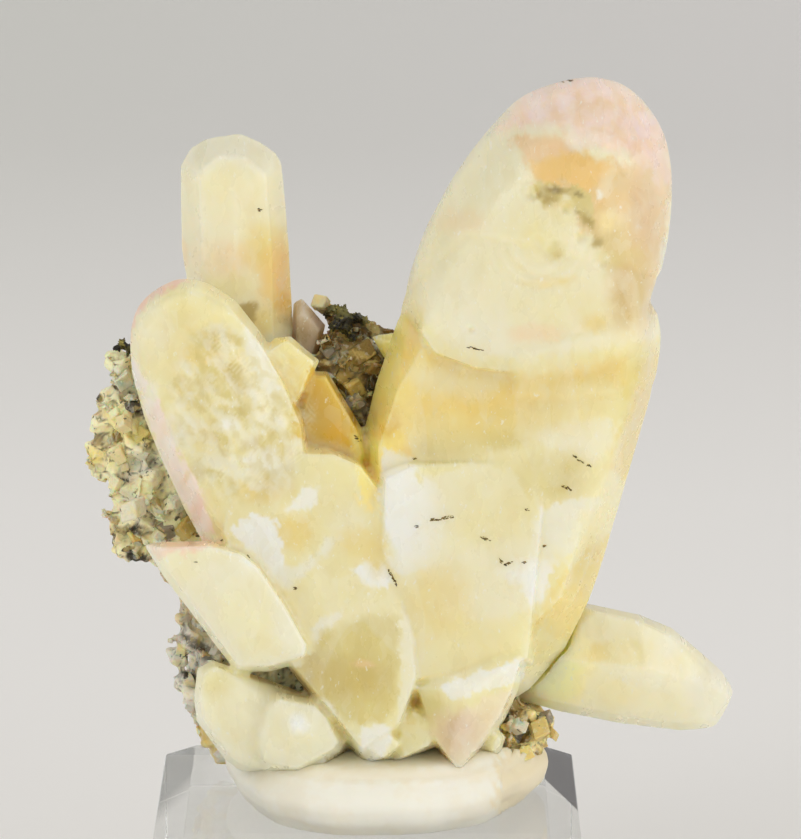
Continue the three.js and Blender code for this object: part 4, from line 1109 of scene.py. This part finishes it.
def makeMatrix(within):
    piece = copyNode("matrix_rock", "roughMatrix")
    refine(piece, matrix["voxel"], 1)
    points = coordsOf(piece)
    high, wide = matrix["lumps"]
    moveAlongNormals(piece, noiseAt(points, wide, 2) * high - 0.3)
    (high, wide), (low, narrow) = matrix["grains"], matrix["fineGrains"]
    grains, fine = grainsAt(points, wide), grainsAt(points, narrow)
    moveAlongNormals(piece, grains * high + fine * low - 0.25)
    keepInside(piece)
    # the tint is scaled down in the cracks between grains: painted shade there
    paint(piece, matrixZones, 0.3, 0.25 + 0.9 * smoothStep(grains + 0.3 * fine, 0.0, 0.22))
    material = matrixMaterial()
    draw = np.random.default_rng(5)
    places, normals = spreadOver(piece, matrix["rhombs"] * 2, draw)
    tints, cover = mixZones(places, matrixZones, 0.3)
    spares = [tintOf(name) for name in ("fog", "ash", "stone", "sand", "ochre", "sage", "slate")]
    rhombs = []
    for place, normal, tint, covered in zip(places, normals, tints, cover):
        if len(rhombs) == matrix["rhombs"]:
            break
        if isWithin(within, place + normal * 0.4):
            continue
        if covered < 0.3 or normal[1] > 0.35:
            tint = spares[draw.integers(len(spares))]
        small, large = matrix["size"]
        size = small + (large - small) * draw.random() ** 2
        pale = draw.uniform(0.8, 1.3)
        sunk = place - normal * size * matrix["sunk"]
        rhombs.append((grainMatrix(sunk, normal, size, draw), np.clip(tint * pale, 0, 0.9)))
    tree = treeOf(piece)
    for across, up, size, name in largeRhombs:
        place, normal = seenAt(tree, across, up)
        if place:
            sunk = place - normal * size * matrix["largeSunk"]
            rhombs.append((grainMatrix(sunk, normal, size, draw, 0.3), tintOf(name) * 0.9))
    crust = copiesOf(rhombModel(), "rhombCrust", rhombs)
    keepInside(crust)
    settle(piece, material, "matrix", "matrix_rock")
    settle(crust, material, "matrix")
    selectOnly(crust)
    bpy.ops.object.shade_flat()


calciteTree = treeOf(*calcitePieces)
makeMatrix(calciteTree)


# chalcopyrite: dark tarnished crystals, brassy where they are fresh

chalcopyrite = {
    "voxel": 0.25,  # mm
    "lumps": (0.3, 1.2),  # mm, height and width
    "crystals": {"crest": 170, "flank": 50},
    "size": (0.35, 0.95),  # mm
}

chalcopyriteZones = [
    ("iron", 1, 1, [(-32, 40), (10, 40), (10, 66), (-32, 66)]),
    ("verdigris", 0.9, (-3.1, 58.0), (1.8, 1.4), 0),
    ("pale", 0.8, (-6.1, 58.2), (0.8, 0.9), 0),
    ("iron", 1, (-3.5, 54.9), (1.7, 1.0), 0),
    ("iron", 1, (-1.3, 56.8), (0.9, 1.0), 0),
    ("bronze", 0.9, (0.6, 56.1), (0.9, 0.8), 0),
    ("bronze", 0.9, (1.9, 56.0), (1.2, 0.8), 0),
]


def chalcopyriteMaterial():
    material, tree, surface = newMaterial("tarnishedChalcopyrite")
    coords = objectCoords(tree)
    shade = overPaint(tree, colour("iron"))
    fresh = noiseMask(tree, coords, 1.4, 0.6, 0.68)
    shade = layOver(tree, shade, noiseMask(tree, coords, 1.0, 0.5, 0.62), 0.45, "verdigris")
    shade = layOver(tree, shade, fresh, 0.8, "bronze")
    setInputs(tree, surface, {
        "Base Color": shade, "Roughness": 0.38, "Metallic": rangeOf(tree, fresh, 0, 1, 0.35, 0.85),
    })
    return material


def makeChalcopyrite():
    material = chalcopyriteMaterial()
    for node, name in (("chalcopyrite_crest", "crest"), ("chalcopyrite_flank", "flank")):
        piece = copyNode(node, name + "Chalcopyrite")
        refine(piece, chalcopyrite["voxel"], 2)
        high, wide = chalcopyrite["lumps"]
        moveAlongNormals(piece, noiseAt(coordsOf(piece), wide, 31) * high - high)
        paint(piece, chalcopyriteZones, 0.4)
        draw = np.random.default_rng(11)
        places, normals = spreadOver(piece, chalcopyrite["crystals"][name], draw)
        tints, _ = mixZones(places, chalcopyriteZones, 0.5)
        crystals = []
        for place, normal, tint in zip(places, normals, tints):
            small, large = chalcopyrite["size"]
            size = small + (large - small) * draw.random() ** 1.6
            pale = draw.uniform(0.6, 1.5)
            crystals.append((grainMatrix(place, normal, size, draw, 0.8), tint * pale))
        cluster = copiesOf(wedgeModel(), name + "Crystals", crystals)
        keepInside(cluster)
        settle(piece, material, "chalcopyrite", node)
        settle(cluster, material, "chalcopyrite")
        selectOnly(cluster)
        bpy.ops.object.shade_flat()


makeChalcopyrite()


# dark flecks on the crystal faces, each row (across, up, length, width, turn) in millimetres and degrees

flecks = [
    (8.0, 32.6, 1.1, 0.3, 5), (8.7, 32.7, 0.9, 0.35, 20), (9.4, 32.8, 0.8, 0.3, 15),
    (9.9, 32.95, 0.7, 0.3, 5), (13.7, 30.5, 0.7, 0.2, -25), (14.2, 30.3, 0.6, 0.35, -20),
    (15.7, 27.9, 0.6, 0.2, -50), (16.1, 27.5, 0.6, 0.2, -30), (16.8, 27.5, 0.7, 0.15, 15),
    (18.4, 27.6, 0.4, 0.2, 0), (24.5, 40.1, 0.7, 0.15, -25), (25.3, 39.5, 0.8, 0.2, -30),
    (26.1, 39.0, 0.9, 0.18, -25), (23.3, 36.5, 0.6, 0.2, -10), (23.8, 36.3, 0.7, 0.35, -35),
    (18.9, 33.8, 0.4, 0.3, 0), (5.8, 31.8, 0.3, 0.25, 0), (5.6, 39.8, 0.35, 0.2, 0),
    (20.9, 29.5, 0.3, 0.2, 0), (2.6, 26.5, 0.7, 0.25, -60), (2.9, 26.0, 0.7, 0.3, -65),
    (3.2, 25.5, 0.6, 0.25, -70), (3.4, 25.0, 0.5, 0.2, -75), (22.9, 84.3, 0.9, 0.22, 0),
    (23.6, 84.45, 0.9, 0.2, 5), (24.2, 84.4, 0.5, 0.15, 5), (12.6, 52.9, 0.7, 0.3, -15),
    (13.4, 52.6, 0.5, 0.15, -10), (12.0, 52.9, 0.4, 0.15, 10), (-1.3, 42.3, 0.3, 0.25, 0),
    (-0.9, 42.0, 0.3, 0.25, 0), (-12.7, 69.3, 0.4, 0.4, 0), (-17.2, 30.2, 0.4, 0.25, 0),
    (-24.0, 25.0, 0.5, 0.25, -45), (-14.0, 28.3, 0.35, 0.15, -50), (-8.5, 24.5, 0.3, 0.2, 0),
    (-20.2, 27.6, 0.2, 0.15, 0),
]
crumbs = {"size": (0.25, 0.6), "thick": 0.1}  # mm


def crumbModel():
    startModel(bpy.ops.mesh.primitive_ico_sphere_add, subdivisions=1, radius=0.5)
    bpy.ops.transform.vertex_random(offset=0.12, seed=3)
    return endModel()


def makeFlecks(tree):
    # every fleck is a few crumbs in a row
    draw = np.random.default_rng(23)
    places = []
    for across, up, long, wide, turn in flecks:
        for _ in range(2 + round(long * 5)):
            slant = math.radians(turn) + draw.normal() * 0.25
            along, aside = draw.uniform(-0.55, 0.55) * long, draw.normal() * 0.3 * wide
            x = across + along * math.cos(math.radians(turn)) - aside * math.sin(math.radians(turn))
            y = up + along * math.sin(math.radians(turn)) + aside * math.cos(math.radians(turn))
            place, normal = seenAt(tree, x, y)
            if place is None:
                continue
            ahead = Vector((math.cos(slant), 0, 0)) + lift * math.sin(slant)
            ahead = (ahead - normal * ahead.dot(normal)).normalized()
            turned = Matrix((ahead, normal.cross(ahead), normal)).transposed().to_4x4()
            size = draw.uniform(*crumbs["size"]) * mm
            crumb = Matrix.Diagonal((size, size * draw.uniform(0.2, 0.45), crumbs["thick"] * mm, 1))
            shade = tintOf("umber") * draw.uniform(0.1, 0.8)
            places.append((Matrix.Translation(place * mm) @ turned @ crumb, shade))
    piece = copiesOf(crumbModel(), "darkFlecks", places)
    settle(piece, bpy.data.materials["tarnishedChalcopyrite"], "chalcopyrite")


makeFlecks(calciteTree)


# putty: a hand-pressed pad, folded back at the right

putty = {
    "voxel": 0.45,  # mm
    "dents": ((0.55, 6, 6), (0.16, 2.5, 16)),  # (depth, width, seed)
    "foldAt": 15.6,  # mm across, where the pad steps back
    "foldDeep": 0.7,
    "swell": 0.85,  # mm, up to the crystals
    "swellOnTop": 0.4,  # mm more
    "foot": 25.42,  # mm, where it lies on the block
}

puttyZones = [
    ("puttyPale", 0.9, 2, [(-18, 8), (24, 8), (24, -6), (-18, -6)]),
    ("puttyTan", 0.85, 0.5, [(15.6, 6), (24, 6), (24, -4), (18, -4), (15.2, -2)]),
    ("puttyTan", 0.4, (4.0, 2.6), (16, 1.0), 0),
    ("puttyPale", 0.8, (-8.0, 1.0), (5.0, 1.6), -15),
]


def puttyMaterial():
    material, tree, surface = newMaterial("creamPutty")
    coords = objectCoords(tree)
    shade = overPaint(tree, colour("puttyBase"))
    shade = layOver(tree, shade, noiseMask(tree, coords, 4, 0.45, 0.65), 0.25, "puttyTan")
    setInputs(tree, surface, {
        "Base Color": shade, "Roughness": 0.62,
        "Subsurface Weight": 0.35, "Subsurface Radius": (1.0, 0.8, 0.5), "Subsurface Scale": 1.5 * mm,
    })
    addBump(tree, surface, fineNoise(tree, coords, 500, 5), 0.2, 0.4)
    return material


def makePutty():
    piece = copyNode("mounting_putty", "pressedPutty")
    refine(piece, putty["voxel"], 5)
    points = coordsOf(piece)
    normals = normalsOf(piece)
    across, _ = drawnPlaces(points)
    sides = 1 - smoothStep(np.abs(normals[:, 2]), 0.75, 0.95)
    press = sum(noiseAt(points, wide, seed) * deep for deep, wide, seed in putty["dents"]) - 0.25
    fold = smoothStep(across - putty["foldAt"], -0.25, 0.35) * smoothStep(-points[:, 1], 0, 6)
    rise = sides * (press - fold * putty["foldDeep"]) + putty["swell"] + putty["swellOnTop"] * (1 - sides)
    moveAlongNormals(piece, rise)
    points = coordsOf(piece)
    points[:, 2] = np.maximum(points[:, 2], putty["foot"])
    setCoords(piece, points)
    keepInside(piece)
    paint(piece, puttyZones, 0.5)
    settle(piece, puttyMaterial(), "putty", "mounting_putty")


makePutty()


# block: clear, polished, with bevelled top edges

block = {
    "edge": 0.25,  # mm, broken edges
    # slope and the two limits below place painted reflections on the bevels; dark and cool are their colours
    "slope": 1.39,  # of the line that the dark of a bevel starts at
    "rightDarkReflection": (36.5, 37.3),  # mm, from where to where it sets in
    "leftDarkReflection": (30, 40),
    "clear": (0.9, 0.905, 0.9, 1),
    "dark": (0.01, 0.01, 0.012, 1),
    "coolReflection": (0.3, 0.31, 0.34, 1),
    "straight": 0.25,  # share of what is seen without bending
    "straightAtFront": 0.55,  # more of it on the bevels' front ends
}


def blockMaterial():
    material, tree, surface = newMaterial("clearAcrylic")
    # painted reflections, seen from the camera: the right bevel is painted dark towards the back, the left
    # one cool grey and less so
    normal = addNode(tree, "SeparateXYZ", {0: addNode(tree, "NewGeometry").outputs["Normal"]}).outputs
    place = addNode(tree, "SeparateXYZ", {0: objectCoords(tree)}).outputs
    rays = addNode(tree, "LightPath").outputs
    seen = maths(tree, "MULTIPLY", rangeOf(tree, normal["Z"], 0.25, 0.35), rays["Is Camera Ray"])
    paintedReflections, fronts = [], []
    for side, limits in ((1, "rightDarkReflection"), (-1, "leftDarkReflection")):
        start, end = block[limits]
        slant = maths(tree, "ADD", maths(tree, "MULTIPLY", place["X"], side * block["slope"]), place["Y"])
        bevel = maths(tree, "MULTIPLY", rangeOf(tree, normal["X"], side * 0.3, side * 0.4), seen)
        paintedReflections.append(maths(tree, "MULTIPLY", bevel, rangeOf(tree, slant, start * mm, end * mm)))
        fronts.append(maths(tree, "SUBTRACT", bevel, paintedReflections[-1]))
    dark, coolReflection = paintedReflections
    shade = mixColour(tree, coolReflection, mixColour(tree, dark, block["clear"], block["dark"]), block["coolReflection"])
    setInputs(tree, surface, {"Base Color": shade, "Transmission Weight": 1, "Roughness": 0.02, "IOR": 1.49})
    # light from the lamps passes through to what is behind
    clear = addNode(tree, "BsdfTransparent", {"Color": (0.96, 0.965, 0.96, 1)})
    through = maths(tree, "MULTIPLY", maths(tree, "SUBTRACT", 1.0, dark), block["straight"])
    front = maths(tree, "MULTIPLY", maths(tree, "ADD", *fronts), block["straightAtFront"])
    straight = maths(tree, "MAXIMUM", rays["Is Shadow Ray"], maths(tree, "ADD", through, front))
    mix = addNode(tree, "MixShader", {0: straight, 1: surface.outputs["BSDF"], 2: clear.outputs["BSDF"]})
    tree.links.new(mix.outputs["Shader"], tree.nodes["Material Output"].inputs["Surface"])
    return material


def makeBlock():
    piece = copyNode("acrylic_block", "bevelledBlock")
    selectOnly(piece)
    bpy.ops.object.mode_set(mode="EDIT")
    bpy.ops.mesh.select_all(action="SELECT")
    bpy.ops.mesh.dissolve_limited(angle_limit=math.radians(1))
    bpy.ops.object.mode_set(mode="OBJECT")
    applyModifier(piece, "BEVEL", width=block["edge"] * mm, segments=4)
    settle(piece, blockMaterial(), "acrylic", "acrylic_block")
    bpy.ops.object.shade_flat()


makeBlock()
print("pieces made")


# stage: a pale sweep, soft lights

stage = {"half": 1.4, "back": 1.1, "rise": 1.6, "sweep": 0.5, "gap": 0.0004}  # metres


def editBackEdge(sweep):
    # leaves the floor's back edge selected in edit mode
    bpy.ops.object.mode_set(mode="OBJECT")
    for edge in sweep.data.edges:
        ends = [sweep.data.vertices[i].co for i in edge.vertices]
        edge.select = all(p.y > 0 and p.z < 0.01 for p in ends)
    bpy.ops.object.mode_set(mode="EDIT")


def makeStage():
    bpy.ops.object.select_all(action="DESELECT")
    bpy.ops.mesh.primitive_plane_add(size=1, location=(0, 0, -stage["gap"]))
    sweep = bpy.context.object
    sweep.name = "paleSweep"
    sweep.scale = (stage["half"] * 2, stage["back"] * 2, 1)
    bpy.ops.object.transform_apply(location=True, rotation=True, scale=True)
    bpy.ops.object.mode_set(mode="EDIT")
    bpy.ops.mesh.select_mode(type="EDGE")
    bpy.ops.mesh.select_all(action="DESELECT")
    editBackEdge(sweep)
    bpy.ops.mesh.extrude_region_move(TRANSFORM_OT_translate={"value": (0, 0, stage["rise"])})
    editBackEdge(sweep)
    bpy.ops.mesh.bevel(offset=stage["sweep"], segments=16)
    bpy.ops.object.mode_set(mode="OBJECT")
    bpy.ops.object.shade_smooth()
    material, tree, surface = newMaterial("palePaper")
    place = addNode(tree, "SeparateXYZ", {0: objectCoords(tree)}).outputs
    # painted shade: darker from the floor's middle towards the back and up the wall, and darker at the wall's
    # left than its right
    wallShade = mixColour(tree, rangeOf(tree, place["X"], -0.13, 0.13), colour("wallShadeLeft"), colour("wallShadeRight"))
    shade = mixColour(tree, rangeOf(tree, place["Y"], 0.25, 0.95), colour("floor"), wallShade)
    setInputs(tree, surface, {"Base Color": shade, "Roughness": 0.9})
    sweep.data.materials.append(material)


# each light with its place and width in metres and its power in watts
lights = {"keyLight": ((-0.35, -0.5, 0.6), 0.35, 0.9), "fillLight": ((0.6, -0.5, 0.3), 0.5, 1.6)}
lightAim = Vector((0, 0, 0.07))
room = {"colour": (0.9, 0.9, 0.9, 1), "eyeLevel": 1.12, "overhead": 0.68}


def addLight(name, place, width, power):
    data = bpy.data.lights.new(name, "AREA")
    data.size = width
    data.energy = power
    light = bpy.data.objects.new(name, data)
    bpy.context.scene.collection.objects.link(light)
    light.location = place
    light.rotation_euler = (lightAim - light.location).to_track_quat("-Z", "Y").to_euler()


def makeRoom():
    # dimmer overhead than at eye level
    world = bpy.data.worlds.new("softRoom")
    bpy.context.scene.world = world
    world.use_nodes = True
    tree = world.node_tree
    height = addNode(tree, "SeparateXYZ", {0: addNode(tree, "TexCoord").outputs["Generated"]}).outputs["Z"]
    strength = rangeOf(tree, height, 0, 0.9, room["eyeLevel"], room["overhead"])
    setInputs(tree, tree.nodes["Background"], {"Color": room["colour"], "Strength": strength})


makeStage()
for lightName, values in lights.items():
    addLight(lightName, *values)
makeRoom()
bpy.context.scene.view_settings.view_transform = "Standard"
print("stage and lights made")
